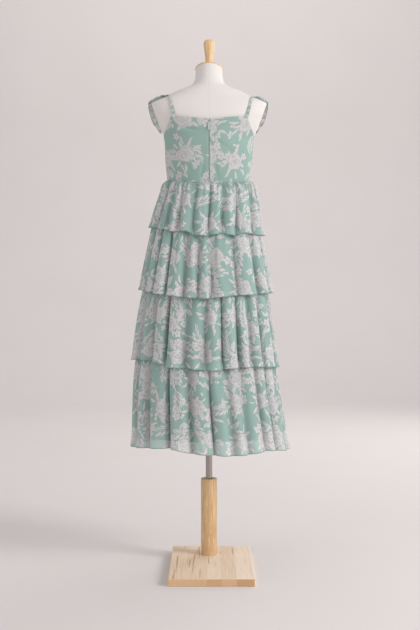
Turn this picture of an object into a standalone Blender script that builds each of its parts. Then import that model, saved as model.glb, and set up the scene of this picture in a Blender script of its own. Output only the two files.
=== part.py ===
"""A tiered chiffon dress with flutter straps on a limbless dress form and its stand.

Metres, +Z up. The origin is on the floor under the mast. The wearer's front faces +Y and the back,
with the zip, faces -Y. Angles round the skirt run from the right side (+X) through the back (-Y).
"""

import math

import bmesh
import bpy
import numpy as np
from mathutils import Vector
from mathutils.bvhtree import BVHTree

# Seams and clearances
SEAM_GAP = 0.0003
SIDE_SEAM_RADIUS = 0.120
CLOTH = 0.0015
BODICE_EASE = 0.0040

# Stand
BOARD_LEFT = 0.1140
BOARD_RIGHT = 0.1285
BOARD_BACK_REACH = 0.286
BOARD_FRONT_REACH = 0.106
BOARD_THICKNESS = 0.021
BOARD_EDGE_ROUND = 0.0015
POST_RADIUS = 0.0246
POST_TOP = 0.254
POST_EDGE_ROUND = 0.0012
MAST_RADIUS = 0.0100
MAST_FOOT = 0.130
MAST_FIT = 0.0003
SOCKET_ROOF = 0.872
POST_FLOOR = 0.004
POST_SIDES = 32
MAST_SIDES = 24

# Dress form: height, half width, half depth, middle y, roundness of the section
TORSO_SECTIONS = (
    (0.800, 0.118, 0.082, -0.004, 2.2),
    (0.835, 0.128, 0.090, -0.005, 2.2),
    (0.880, 0.134, 0.095, -0.006, 2.2),
    (0.930, 0.135, 0.095, -0.006, 2.2),
    (1.010, 0.126, 0.086, -0.001, 2.2),
    (1.090, 0.1165, 0.079, 0.004, 2.2),
    (1.150, 0.1205, 0.083, 0.004, 2.3),
    (1.220, 0.1270, 0.091, 0.002, 2.4),
    (1.276, 0.1290, 0.094, -0.002, 2.4),
    (1.300, 0.1410, 0.093, -0.004, 2.4),
    (1.330, 0.1600, 0.090, -0.008, 2.4),
    (1.360, 0.1760, 0.082, -0.012, 2.5),
    (1.385, 0.1800, 0.070, -0.015, 2.5),
    (1.3965, 0.1610, 0.064, -0.017, 2.4),
    (1.4087, 0.1310, 0.059, -0.017, 2.3),
    (1.4264, 0.0980, 0.054, -0.015, 2.2),
    (1.4370, 0.0720, 0.051, -0.012, 2.1),
    (1.4480, 0.0515, 0.048, -0.009, 2.0),
    (1.4600, 0.0440, 0.045, -0.005, 2.0),
    (1.4790, 0.0408, 0.043, -0.002, 2.0),
    (1.4945, 0.0405, 0.043, 0.000, 2.0),
)
TORSO_SIDES = 40
ARM_PLATE_FOOT = (0.1310, 1.272)
ARM_PLATE_SLOPE = 0.37
NECK_TILT = 0.30
NECK_TILT_FROM = 1.448
NECK_CAP_THICKNESS = 0.0042
NECK_CAP_OVERHANG = 0.0010

# Finial: height above the cap, radius
FINIAL_PROFILE = (
    (0.004, 0.0100),
    (0.010, 0.0096),
    (0.016, 0.0104),
    (0.022, 0.0106),
    (0.050, 0.0140),
    (0.068, 0.0161),
    (0.077, 0.0161),
    (0.083, 0.0142),
    (0.086, 0.0088),
)
FINIAL_SIDES = 24

# Skirt foundation: height, half width
UNDERSKIRT_PROFILE = (
    (1.170, 0.1262),
    (1.140, 0.1265),
    (1.040, 0.1420),
    (0.850, 0.1670),
    (0.630, 0.1880),
    (0.386, 0.2040),
    (0.340, 0.2060),
)
UNDERSKIRT_HEM = 0.386
DEPTH_RATIO = ((0.35, 0.80), (0.80, 0.77), (1.16, 0.700))
SKIRT_ROUNDNESS = ((0.35, 2.0), (0.95, 2.0), (1.14, 2.3), (1.16, 2.3))
SKIRT_MIDDLE_Y = ((0.35, 0.000), (0.95, 0.000), (1.16, 0.004))
SIDEWAYS_SWAY = ((0.35, 0.004), (0.60, -0.010), (1.00, -0.009), (1.12, 0.000))
WAIST_LEVELS = {"right": 1.155, "back": 1.1416, "left": 1.157, "front": 1.150}
WAIST_MIDDLE = 1.148
WAIST_RATIO = 0.70

# Tiers: hem heights, and stand-off from the underskirt at shares of the drop
TIER_OVERLAP = 0.036
REST_GAP = 0.0036
TIERS = (
    {
        "name": "tier_1",
        "hem": {"right": 0.994, "back": 0.982, "left": 1.018, "front": 0.990},
        "drop_share": (0.0, 0.06, 0.20, 0.50, 1.0),
        "stand_off": (0.0018, 0.0095, 0.0150, 0.0195, 0.0225),
        "fold_depth": 0.0068,
        "hem_lift": (
            (25, 0.0),
            (48, 0.011),
            (60, 0.003),
            (73, 0.013),
            (90, 0.003),
            (103, 0.002),
            (110, 0.012),
            (124, 0.002),
            (170, 0.0),
        ),
        "valleys": (13, 32, 57, 74, 88, 103, 119, 134, 149, 166),
        "depths": (0.8, 1.0, 1.3, 0.9, 1.3, 1.2, 1.0, 0.7, 1.2, 0.9),
    },
    {
        "name": "tier_2",
        "hem": {"right": 0.819, "back": 0.801, "left": 0.829, "front": 0.810},
        "drop_share": (0.0, 0.08, 0.22, 0.50, 1.0),
        "stand_off": (0.0018, 0.0120, 0.0175, 0.0220, 0.0280),
        "fold_depth": 0.0086,
        "hem_lift": (
            (15, 0.0),
            (40, 0.004),
            (68, 0.008),
            (85, 0.001),
            (168, 0.0),
        ),
        "valleys": (16, 36, 61, 85, 97, 109, 127, 141, 156, 170),
        "depths": (0.8, 1.1, 1.2, 1.0, 1.0, 0.9, 1.6, 1.7, 0.9, 0.8),
    },
    {
        "name": "tier_3",
        "hem": {"right": 0.595, "back": 0.595, "left": 0.617, "front": 0.600},
        "drop_share": (0.0, 0.08, 0.22, 0.50, 1.0),
        "stand_off": (0.0018, 0.0130, 0.0190, 0.0225, 0.0260),
        "fold_depth": 0.0092,
        "hem_lift": (
            (10, 0.0),
            (47, 0.010),
            (66, 0.009),
            (85, 0.0),
            (106, 0.001),
            (124, -0.001),
            (128, 0.007),
            (139, 0.011),
            (175, 0.0),
        ),
        "valleys": (18, 37, 50, 62, 76, 90, 106, 124, 139, 160),
        "depths": (0.9, 1.3, 0.9, 1.2, 1.4, 1.0, 0.8, 1.8, 1.2, 0.8),
    },
    {
        "name": "tier_4",
        "hem": {"right": 0.347, "back": 0.350, "left": 0.353, "front": 0.350},
        "drop_share": (0.0, 0.06, 0.17, 0.50, 1.0),
        "stand_off": (0.0018, 0.0130, 0.0200, 0.0230, 0.0275),
        "fold_depth": 0.0092,
        "hem_lift": (
            (10, 0.0),
            (45, 0.010),
            (58, 0.003),
            (72, 0.0),
            (92, 0.003),
            (106, 0.006),
            (114, 0.015),
            (124, 0.017),
            (175, 0.0),
        ),
        "valleys": (15, 33, 45, 60, 72, 87, 103, 121, 142, 163),
        "depths": (0.8, 1.1, 1.1, 1.0, 0.9, 1.4, 1.1, 1.8, 1.1, 0.8),
    },
)
TIER_COLUMNS = 60
TOP_GATHERS = 24
GATHER_HEIGHT = 0.0022
GATHER_DROP = 0.030

# Bodice: angle from the side seam in degrees, height of the top edge
BACK_TOP_EDGE = ((0, 1.277), (15, 1.289), (30, 1.300), (45, 1.3205), (53, 1.337), (55, 1.3385), (90, 1.3300))
FRONT_TOP_EDGE = (
    (0, 1.277),
    (15, 1.287),
    (30, 1.297),
    (45, 1.3145),
    (53, 1.329),
    (55, 1.3300),
    (90, 1.3260),
)
BODICE_ROWS = (0.0, 0.2, 0.4, 0.6, 0.75, 0.88, 1.0)
ZIP_GAP = 0.0022
BODICE_BACK_RADIUS = 0.155

# Straps and flutter ruffles; distances from the centre line at the back end, the top and the front end
STRAP_WIDTH = 0.009
STRAP_THICKNESS = 0.0016
STRAP_CLEARANCE = 0.0011
STRAP_ROWS = 21
STRAP_EDGE_DEG = 54
STRAP_SWING_DEG = 70
STRAP_RISE_DEG = 22
STRAPS = (
    {"side": "left", "sign": -1, "back_x": 0.1020, "top_x": 0.1255, "front_x": 0.1040, "reach": 1.000},
    {"side": "right", "sign": 1, "back_x": 0.1090, "top_x": 0.1410, "front_x": 0.1080, "reach": 0.975},
)
SKIN_EYE_HEIGHT = 1.300
SKIN_EYE_ABOVE_PLATE = 0.018
RUFFLE_BACK_LIFT = 108
RUFFLE_FRONT_LIFT = 34
RUFFLE_CLEARANCE = 0.0024
RUFFLE_SETTLE = 0.25
RUFFLE_LINES = (0.0, 0.14, 0.30, 0.48, 0.66, 0.83, 1.0)
RUFFLE_WAVES = 8
RUFFLE_WAVE_HEIGHT = 0.0030
RUFFLE_BULGE = 0.0080
# Outer edge of a ruffle: share of its length from the back, x, y, z
RUFFLE_EDGE = (
    (0.00, 0.1500, -0.0360, 1.3950),
    (0.12, 0.1740, -0.0260, 1.3930),
    (0.32, 0.1830, 0.0020, 1.3960),
    (0.55, 0.1850, 0.0300, 1.3840),
    (0.78, 0.1770, 0.0600, 1.3520),
    (1.00, 0.1500, 0.0760, 1.3140),
)

# Zip
ZIP_END_TRIM = 0.0030
ZIP_TAPE_WIDTH = 0.014
ZIP_TAPE_THICKNESS = 0.0008
SLIDER_WIDTH = 0.0050
SLIDER_LENGTH = 0.0085
SLIDER_PLATE = 0.0014
SLIDER_MIDDLE = 1.3170
BRIDGE_WIDTH = 0.0016
BRIDGE_WINDOW = 0.0018
BRIDGE_BAR = 0.0008
BRIDGE_ROOT = 0.0007
TAB_WIDTH = 0.0044
TAB_LENGTH = 0.0185
TAB_THICKNESS = 0.0008
TAB_BAR = 0.0009
TAB_HOLE_HEIGHT = 0.0026
TAB_HOLE_WIDTH = 0.0026

MATERIALS = {
    "chiffon": ((0.37, 0.52, 0.45), 0.75, 0.0),
    "lining": ((0.34, 0.50, 0.43), 0.70, 0.0),
    "linen": ((0.80, 0.78, 0.75), 0.85, 0.0),
    "turned_wood": ((0.66, 0.42, 0.20), 0.45, 0.0),
    "board_wood": ((0.75, 0.56, 0.38), 0.55, 0.0),
    "steel": ((0.60, 0.57, 0.53), 0.20, 1.0),
    "zip_metal": ((0.66, 0.74, 0.70), 0.35, 0.6),
}


def column(table, index):
    """One column of a table as an array."""
    return np.array([row[index] for row in table], float)


def read_table(table, at, index=1):
    """Straight-line reading of a table whose first column rises."""
    return np.interp(at, column(table, 0), column(table, index))


def material(name):
    """The named material, made once."""
    found = bpy.data.materials.get(name)
    if found is None:
        colour, roughness, metallic = MATERIALS[name]
        found = bpy.data.materials.new(name)
        found.use_nodes = True
        shader = found.node_tree.nodes["Principled BSDF"]
        shader.inputs["Base Color"].default_value = (*colour, 1)
        shader.inputs["Roughness"].default_value = roughness
        shader.inputs["Metallic"].default_value = metallic
        found.diffuse_color = (*colour, 1)
    return found


def add_object(name, points, faces, material_name, smooth_angle=40):
    """A mesh object from points and faces, with its normals turned outwards."""
    mesh = bpy.data.meshes.new(name)
    mesh.from_pydata([tuple(p) for p in points], [], faces)
    work = bmesh.new()
    work.from_mesh(mesh)
    bmesh.ops.recalc_face_normals(work, faces=work.faces)
    work.to_mesh(mesh)
    work.free()
    mesh.shade_smooth()
    mesh.set_sharp_from_angle(angle=math.radians(smooth_angle))
    mesh.materials.append(material(material_name))
    made = bpy.data.objects.new(name, mesh)
    bpy.context.scene.collection.objects.link(made)
    return made


def loft(name, rings, material_name, smooth_angle=40):
    """A solid through rings of equal point count, closed by a flat face at each end."""
    sides = len(rings[0])
    points = np.concatenate(rings)
    faces = []
    for r in range(len(rings) - 1):
        low, high = r * sides, (r + 1) * sides
        for i in range(sides):
            j = (i + 1) % sides
            faces.append((low + i, low + j, high + j, high + i))
    faces.append(tuple(range(sides)))
    faces.append(tuple(range(len(points) - sides, len(points))))
    return add_object(name, points, faces, material_name, smooth_angle)


def wall(name, outer, inner, material_name):
    """A cloth wall between two grids of rows and columns, closed along all four edges."""
    rows, columns = outer.shape[:2]
    points = np.concatenate([outer.reshape(-1, 3), inner.reshape(-1, 3)])
    inside = rows * columns

    def at(r, c, layer=0):
        return layer * inside + r * columns + c

    faces = []
    for r in range(rows - 1):
        for c in range(columns - 1):
            faces.append((at(r, c), at(r, c + 1), at(r + 1, c + 1), at(r + 1, c)))
            faces.append((at(r, c, 1), at(r + 1, c, 1), at(r + 1, c + 1, 1), at(r, c + 1, 1)))
    for r in range(rows - 1):
        for c in (0, columns - 1):
            faces.append((at(r, c), at(r + 1, c), at(r + 1, c, 1), at(r, c, 1)))
    for c in range(columns - 1):
        for r in (0, rows - 1):
            faces.append((at(r, c), at(r, c + 1), at(r, c + 1, 1), at(r, c, 1)))
    return add_object(name, points, faces, material_name, 60)


def circle(radius, height, sides, middle=(0.0, 0.0)):
    """A level ring of points."""
    turn = np.arange(sides) * 2 * math.pi / sides
    return np.stack(
        [middle[0] + radius * np.cos(turn), middle[1] + radius * np.sin(turn), np.full(sides, height)],
        axis=1,
    )


def signed_power(value, power):
    return np.sign(value) * np.abs(value) ** power


def torso_size(height):
    """Half width, half depth, middle y and roundness of the form at a height."""
    return [read_table(TORSO_SECTIONS, height, k) for k in (1, 2, 3, 4)]


def arm_plate(height):
    """Half width at which the flat arm plates cut the shoulders."""
    foot_x, foot_z = ARM_PLATE_FOOT
    return foot_x + ARM_PLATE_SLOPE * (height - foot_z)


def torso_point(turn, height, grown=0.0, cut=True):
    """A point of the form's skin, moved out level by grown; turn runs from +X through +Y."""
    half_width, half_depth, middle, roundness = torso_size(height)
    x = (half_width + grown) * signed_power(np.cos(turn), 2 / roundness)
    y = middle + (half_depth + grown) * signed_power(np.sin(turn), 2 / roundness)
    if cut:
        limit = np.where(height > ARM_PLATE_FOOT[1], arm_plate(height), 1.0)
        x = np.clip(x, -limit, limit)
    return np.stack(np.broadcast_arrays(x, y, height), axis=-1)


def neck_tilt(height):
    """Share of the neck plane's slope at a height."""
    top = TORSO_SECTIONS[-1][0]
    return NECK_TILT * np.clip((height - NECK_TILT_FROM) / (top - NECK_TILT_FROM), 0, 1)


def make_torso():
    """The form: a foam body with flat arm plates, a tilted neck and a socket for the mast.

    Returns its skin as a search tree, on which the straps and ruffles are laid.
    """
    turn = np.arange(TORSO_SIDES) * 2 * math.pi / TORSO_SIDES
    socket_radius = MAST_RADIUS + MAST_FIT
    foot = TORSO_SECTIONS[0][0]
    rings = [circle(socket_radius, SOCKET_ROOF, TORSO_SIDES), circle(socket_radius, foot, TORSO_SIDES)]
    for height in column(TORSO_SECTIONS, 0):
        ring = torso_point(turn, height)
        ring[:, 2] -= neck_tilt(height) * (ring[:, 1] - ring[:, 1].mean())
        rings.append(ring)
    torso = loft("form_torso", rings, "linen", 35)
    mesh = torso.data
    corners = [v.co for v in mesh.vertices]
    return BVHTree.FromPolygons(corners, [tuple(p.vertices) for p in mesh.polygons])


def neck_ring(grown, lift):
    """A ring on the neck's tilted top plane, grown outwards and lifted square to the floor."""
    height, half_width, half_depth, middle, _ = TORSO_SECTIONS[-1]
    turn = np.arange(FINIAL_SIDES) * 2 * math.pi / FINIAL_SIDES
    x = (half_width + grown) * np.cos(turn)
    y = middle + (half_depth + grown) * np.sin(turn)
    return np.stack([x, y, height + lift - NECK_TILT * (y - middle)], axis=1)


def make_neck_cap():
    """The thin wooden disc on the neck, with a rounded upper rim."""
    edge = NECK_CAP_OVERHANG
    top = SEAM_GAP + NECK_CAP_THICKNESS
    rings = [
        neck_ring(edge - 0.0006, SEAM_GAP),
        neck_ring(edge, SEAM_GAP + 0.0008),
        neck_ring(edge, top - 0.0014),
        neck_ring(edge - 0.0016, top),
    ]
    loft("form_neck_cap", rings, "turned_wood")


def make_finial():
    """The turned handle on the cap; its foot is cut to the cap's slope."""
    cap_top = TORSO_SECTIONS[-1][0] + SEAM_GAP + NECK_CAP_THICKNESS
    rings = []
    for share, radius in [(0.0, FINIAL_PROFILE[0][1]), *FINIAL_PROFILE]:
        ring = circle(radius, cap_top + share, FINIAL_SIDES)
        if share == 0.0:
            ring[:, 2] += SEAM_GAP - NECK_TILT * ring[:, 1]
        rings.append(ring)
    loft("form_finial", rings, "turned_wood")


def make_stand():
    """The board, the post with its long bore, and the mast that slides in it."""
    left, right = -BOARD_LEFT, BOARD_RIGHT
    corners = [
        (left, -BOARD_BACK_REACH),
        (right, -BOARD_BACK_REACH),
        (right, BOARD_FRONT_REACH),
        (left, BOARD_FRONT_REACH),
    ]
    rings = [np.array([(x, y, z) for x, y in corners]) for z in (0.0, BOARD_THICKNESS)]
    board = loft("stand_board", rings, "board_wood")
    bevel = board.modifiers.new("worn_edges", "BEVEL")
    bevel.width = BOARD_EDGE_ROUND
    bevel.segments = 2

    foot = BOARD_THICKNESS + SEAM_GAP
    bore = MAST_RADIUS + MAST_FIT
    profile = (
        (bore, foot + POST_FLOOR),
        (bore, POST_TOP - POST_EDGE_ROUND),
        (bore + POST_EDGE_ROUND, POST_TOP),
        (POST_RADIUS - POST_EDGE_ROUND, POST_TOP),
        (POST_RADIUS, POST_TOP - POST_EDGE_ROUND),
        (POST_RADIUS, foot),
    )
    loft("stand_post", [circle(r, z, POST_SIDES) for r, z in profile], "turned_wood")
    mast_head = SOCKET_ROOF - MAST_FIT
    loft("stand_mast", [circle(MAST_RADIUS, z, MAST_SIDES) for z in (MAST_FOOT, mast_head)], "steel")


def level_round(levels, angle):
    """Height of a level line that is stated at the right, back, left and front."""
    sides = (levels["right"] + levels["left"]) / 2
    lean = (levels["right"] - levels["left"]) / 2 * np.cos(angle)
    swing = np.sin(angle)
    middle = np.where(swing > 0, levels["back"], levels["front"])
    return sides + lean + (middle - sides) * swing**2


def waist_level(point):
    """Height of the waist seam in the level direction of a point, seen from the middle."""
    return level_round(WAIST_LEVELS, np.arctan2(-point[..., 1] / WAIST_RATIO, point[..., 0]))


def skirt_frame(angle, height):
    """Point on the underskirt's outer face and the level outward direction there."""
    profile = UNDERSKIRT_PROFILE[::-1]
    half_width = read_table(profile, height)
    ratio = read_table(DEPTH_RATIO, height)
    middle = read_table(SIDEWAYS_SWAY, height)
    cosine, sine = np.cos(angle), np.sin(angle)
    power = 2 / read_table(SKIRT_ROUNDNESS, height)
    x = middle + half_width * signed_power(cosine, power)
    y = read_table(SKIRT_MIDDLE_Y, height) - half_width * ratio * signed_power(sine, power)
    outward = np.stack([cosine * ratio, -sine, np.zeros_like(sine)], axis=-1)
    outward /= np.linalg.norm(outward, axis=-1, keepdims=True)
    return np.stack([x, y, height], axis=-1), outward


def fold_wave(tier, angle):
    """-1 in each valley and +1 on each ridge between them, times the fold's own depth.

    The valleys of the back are in the tier's table; the front has the same ones, turned round.
    """
    back = np.array(tier["valleys"], float)
    valleys = np.concatenate([back, back + 180])
    depths = np.tile(np.array(tier["depths"], float), 2)
    turns = np.concatenate([valleys[-1:] - 360, valleys, valleys[:1] + 360])
    weights = np.concatenate([depths[-1:], depths, depths[:1]])
    degrees = np.degrees(angle) % 360
    step = np.interp(degrees, turns, np.arange(len(turns)))
    return -np.cos(2 * math.pi * step) * np.interp(degrees, turns, weights)


def own_stand_off(tier, angle, share, drop):
    """How far a tier's outer face stands from the underskirt, before it rests on the tier below."""
    mean = np.interp(share, tier["drop_share"], tier["stand_off"])
    depth = tier["fold_depth"] * np.clip(share, 0, 1) ** 0.5
    fold = depth * fold_wave(tier, angle)
    fade = np.clip(1 - share * drop / GATHER_DROP, 0, 1)
    gather = GATHER_HEIGHT * fade * (1 - np.cos(TOP_GATHERS * angle)) / 2
    least = CLOTH + SEAM_GAP
    return np.maximum(mean + fold + gather, least)


def skirt_top(angle):
    """Height of the skirt's upper edge, just under the bodice."""
    return waist_level(skirt_frame(angle, np.full(np.shape(angle), WAIST_MIDDLE))[0]) - SEAM_GAP


def hem_level(tier, angle):
    """Height of a tier's hem round the body, with the lift of its own drape."""
    return level_round(tier["hem"], angle) + read_table(tier["hem_lift"], np.degrees(angle))


def tier_levels(index, angle):
    """Top and hem heights of a tier round the body."""
    hem = hem_level(TIERS[index], angle)
    if index == 0:
        top = skirt_top(angle)
    else:
        top = hem_level(TIERS[index - 1], angle) + TIER_OVERLAP
    return top, hem


def stand_off_at(index, angle, height):
    """A tier's own stand-off at a height; a large negative number above its top."""
    top, hem = tier_levels(index, angle)
    share = (top - height) / (top - hem)
    reach = own_stand_off(TIERS[index], angle, np.clip(share, 0, 1.2), top - hem)
    return np.where(share < 0, -1.0, reach)


def half_turn(half, columns):
    """Angles of one half of a ring, short of the side seams."""
    start, end = (0.0, math.pi) if half == "back" else (math.pi, 2 * math.pi)
    slack = SEAM_GAP / 2 / SIDE_SEAM_RADIUS
    angles = np.linspace(start, end, columns + 1)
    angles[0] += slack
    angles[-1] -= slack
    return angles


def make_tiers():
    """Four gathered strips, each a back and a front half; a hem rests on the tier below it."""
    for index, tier in enumerate(TIERS):
        for half in ("back", "front"):
            angle = half_turn(half, TIER_COLUMNS)
            top, hem = tier_levels(index, angle)
            shares = tier["drop_share"]
            angles = np.tile(angle, (len(shares), 1))
            heights = np.array([top + (hem - top) * share for share in shares])
            reach = stand_off_at(index, angles, heights)
            if index + 1 < len(TIERS):
                reach = np.maximum(reach, stand_off_at(index + 1, angles, heights) + REST_GAP)
            base, outward = skirt_frame(angles, heights)
            outer = base + outward * reach[..., None]
            wall(f"{tier['name']}_{half}", outer, outer - outward * CLOTH, "chiffon")


def make_underskirt():
    """The lining skirt that carries the tiers; its hem ends above theirs."""
    for half in ("back", "front"):
        angle = half_turn(half, TIER_COLUMNS // 2)
        seams = [tier_levels(index, angle)[0] for index in range(len(TIERS))]
        heights = np.array([*seams, np.full(len(angle), UNDERSKIRT_HEM)])
        base, outward = skirt_frame(np.tile(angle, (len(heights), 1)), heights)
        wall(f"underskirt_{half}", base, base - outward * CLOTH, "lining")


def bodice_point(angle, height, grown):
    """A point of the bodice: the form's skin moved out; angle runs from +X through the back."""
    return torso_point(-angle, height, grown, cut=False)


def make_bodice():
    """The front, and the two backs on either side of the zip."""
    outer_reach = BODICE_EASE + CLOTH
    half_gap = ZIP_GAP / 2 / BODICE_BACK_RADIUS
    seam = SEAM_GAP / SIDE_SEAM_RADIUS / 2
    panels = {
        "bodice_back_right": (seam, math.pi / 2 - half_gap, BACK_TOP_EDGE, 12),
        "bodice_back_left": (math.pi / 2 + half_gap, math.pi - seam, BACK_TOP_EDGE, 12),
        "bodice_front": (math.pi + seam, 2 * math.pi - seam, FRONT_TOP_EDGE, 24),
    }
    for name, (start, end, top_edge, columns) in panels.items():
        angle = np.linspace(start, end, columns + 1)
        from_side = np.degrees(np.arccos(np.abs(np.cos(angle))))
        top = read_table(top_edge, from_side)
        foot = waist_level(bodice_point(angle, np.full(columns + 1, WAIST_MIDDLE), outer_reach))
        heights = np.array([foot + (top - foot) * share for share in BODICE_ROWS])
        angles = np.tile(angle, (len(BODICE_ROWS), 1))
        outer = bodice_point(angles, heights, outer_reach)
        wall(name, outer, bodice_point(angles, heights, BODICE_EASE), "chiffon")


def skin_point(skin, x, lift_deg, grown):
    """Where a ray in the upright plane at x leaves the form, moved on by grown.

    lift_deg is 0 towards the front, 90 straight up and 180 towards the back.
    """
    foot_x, foot_z = ARM_PLATE_FOOT
    plate_z = foot_z + (abs(x) - foot_x) / ARM_PLATE_SLOPE
    eye_z = max(SKIN_EYE_HEIGHT, plate_z + SKIN_EYE_ABOVE_PLATE)
    eye = Vector((x, torso_size(eye_z)[2], eye_z))
    lift = math.radians(lift_deg)
    along = Vector((0, math.cos(lift), math.sin(lift)))
    hit = skin.ray_cast(eye, along)[0]
    return np.array(hit + along * grown)


def strap_x(strap, lift_deg):
    """Distance of the strap's middle line from the centre line, over its length."""
    share = min(abs(lift_deg - 90) / STRAP_SWING_DEG, 1.0)
    end = strap["back_x"] if lift_deg > 90 else strap["front_x"]
    return strap["top_x"] + (end - strap["top_x"]) * share


def strap_point(strap, skin, lift, across, grown):
    """A point of the strap; across is -1 at its inner edge and 1 at its outer edge."""
    return skin_point(skin, strap["sign"] * (strap_x(strap, lift) + across * STRAP_WIDTH / 2), lift, grown)


def strap_ends(strap, skin):
    """Lifts in degrees at which the strap meets the bodice's top edge, front and back."""
    ends = []
    for edge, low, high in ((FRONT_TOP_EDGE, 5.0, 80.0), (BACK_TOP_EDGE, 175.0, 100.0)):
        height = float(read_table(edge, STRAP_EDGE_DEG)) + SEAM_GAP
        for _ in range(30):
            lift = (low + high) / 2
            if strap_point(strap, skin, lift, 0, BODICE_EASE)[2] > height:
                high = lift
            else:
                low = lift
        ends.append(lift)
    return ends


def make_straps(skin):
    """Each strap is a flat band over the shoulder, lifted to the bodice's edge at both ends."""
    for strap in STRAPS:
        front, back = strap_ends(strap, skin)
        rings = []
        for lift in np.linspace(front, back, STRAP_ROWS):
            near_end = min(lift - front, back - lift)
            ease = STRAP_CLEARANCE + BODICE_EASE * max(0.0, 1 - near_end / STRAP_RISE_DEG) ** 1.5
            corners = []
            for across, thick in ((-1, 0), (1, 0), (1, 1), (-1, 1)):
                corners.append(strap_point(strap, skin, lift, across, ease + STRAP_THICKNESS * thick))
            rings.append(np.array(corners))
        loft(f"strap_{strap['side']}", rings, "chiffon", 60)


def off_skin(skin, point, clearance):
    """The point itself, or where it lands when pushed out to the clearance."""
    near, normal, _, distance = skin.find_nearest(Vector(point))
    side = (Vector(point) - near).dot(normal)
    if side > 0 and distance >= clearance:
        return point
    return np.array(near + normal * clearance)


def ruffle_seam(strap, skin, share, grown):
    """A point just beside the strap's outer edge, where the ruffle is sewn on."""
    lift = RUFFLE_BACK_LIFT + (RUFFLE_FRONT_LIFT - RUFFLE_BACK_LIFT) * share
    seam = strap_point(strap, skin, lift, 1, grown)
    seam[0] += strap["sign"] * SEAM_GAP
    return seam


def ruffle_line(strap, skin, share):
    """One line of the ruffle from the strap to its free edge."""
    inner = ruffle_seam(strap, skin, share, STRAP_CLEARANCE)
    edge = np.array([read_table(RUFFLE_EDGE, share, k) for k in (1, 2, 3)])
    edge[0] *= strap["sign"] * strap["reach"]
    wave = (math.sin(2 * math.pi * RUFFLE_WAVES * share) + 1) / 2
    line = []
    for across in RUFFLE_LINES:
        point = inner + (edge - inner) * across
        point[2] += RUFFLE_BULGE * math.sin(math.pi * across) + RUFFLE_WAVE_HEIGHT * across**1.5 * wave
        settled = min(1.0, across / RUFFLE_SETTLE)
        clearance = STRAP_CLEARANCE + (RUFFLE_CLEARANCE - STRAP_CLEARANCE) * settled
        line.append(off_skin(skin, point, clearance) if across > 0 else point)
    return np.array(line)


def make_ruffles(skin):
    """A gathered flounce sewn along each strap's outer edge, over the shoulder and down the front."""
    shares = np.linspace(0, 1, RUFFLE_WAVES * 4 + 1)
    for strap in STRAPS:
        inner = np.array([ruffle_line(strap, skin, share) for share in shares])
        along = np.gradient(inner, axis=0)
        across = np.gradient(inner, axis=1)
        normal = np.cross(along, across)
        normal /= np.linalg.norm(normal, axis=-1, keepdims=True)
        normal *= np.sign(normal[len(shares) // 3, 3, 2])
        outer = inner + normal * CLOTH
        outer[:, 0] = [ruffle_seam(strap, skin, share, STRAP_CLEARANCE + CLOTH) for share in shares]
        wall(f"ruffle_{strap['side']}", outer, inner, "chiffon")


def box(name, low, high, material_name):
    """A plain block between two corners."""
    rings = []
    for z in (low[2], high[2]):
        corners = ((low[0], low[1]), (high[0], low[1]), (high[0], high[1]), (low[0], high[1]))
        rings.append(np.array([(x, y, z) for x, y in corners]))
    return loft(name, rings, material_name)


def frame_prism(name, outline, window, axis, half_width, material_name):
    """A rectangular plate with a rectangular window, given in two axes and pushed along the third.

    outline and window are (low, high) corners in the plane; axis is the index of the pushed direction.
    """
    loops = []
    for low, high in (outline, window):
        loops.append([(low[0], low[1]), (high[0], low[1]), (high[0], high[1]), (low[0], high[1])])
    points = []
    for depth in half_width:
        for loop in loops:
            for a, b in loop:
                point = [a, b]
                point.insert(axis, depth)
                points.append(point)
    faces = []
    for i in range(4):
        j = (i + 1) % 4
        faces.append((i, j, 4 + j, 4 + i))
        faces.append((8 + i, 12 + i, 12 + j, 8 + j))
        faces.append((i, 8 + i, 8 + j, j))
        faces.append((4 + i, 4 + j, 12 + j, 12 + i))
    return add_object(name, points, faces, material_name)


def back_face_y(height):
    """Outer face of the bodice beside the zip."""
    return float(bodice_point(np.array(math.pi / 2), np.array(height), BODICE_EASE + CLOTH)[1])


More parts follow.
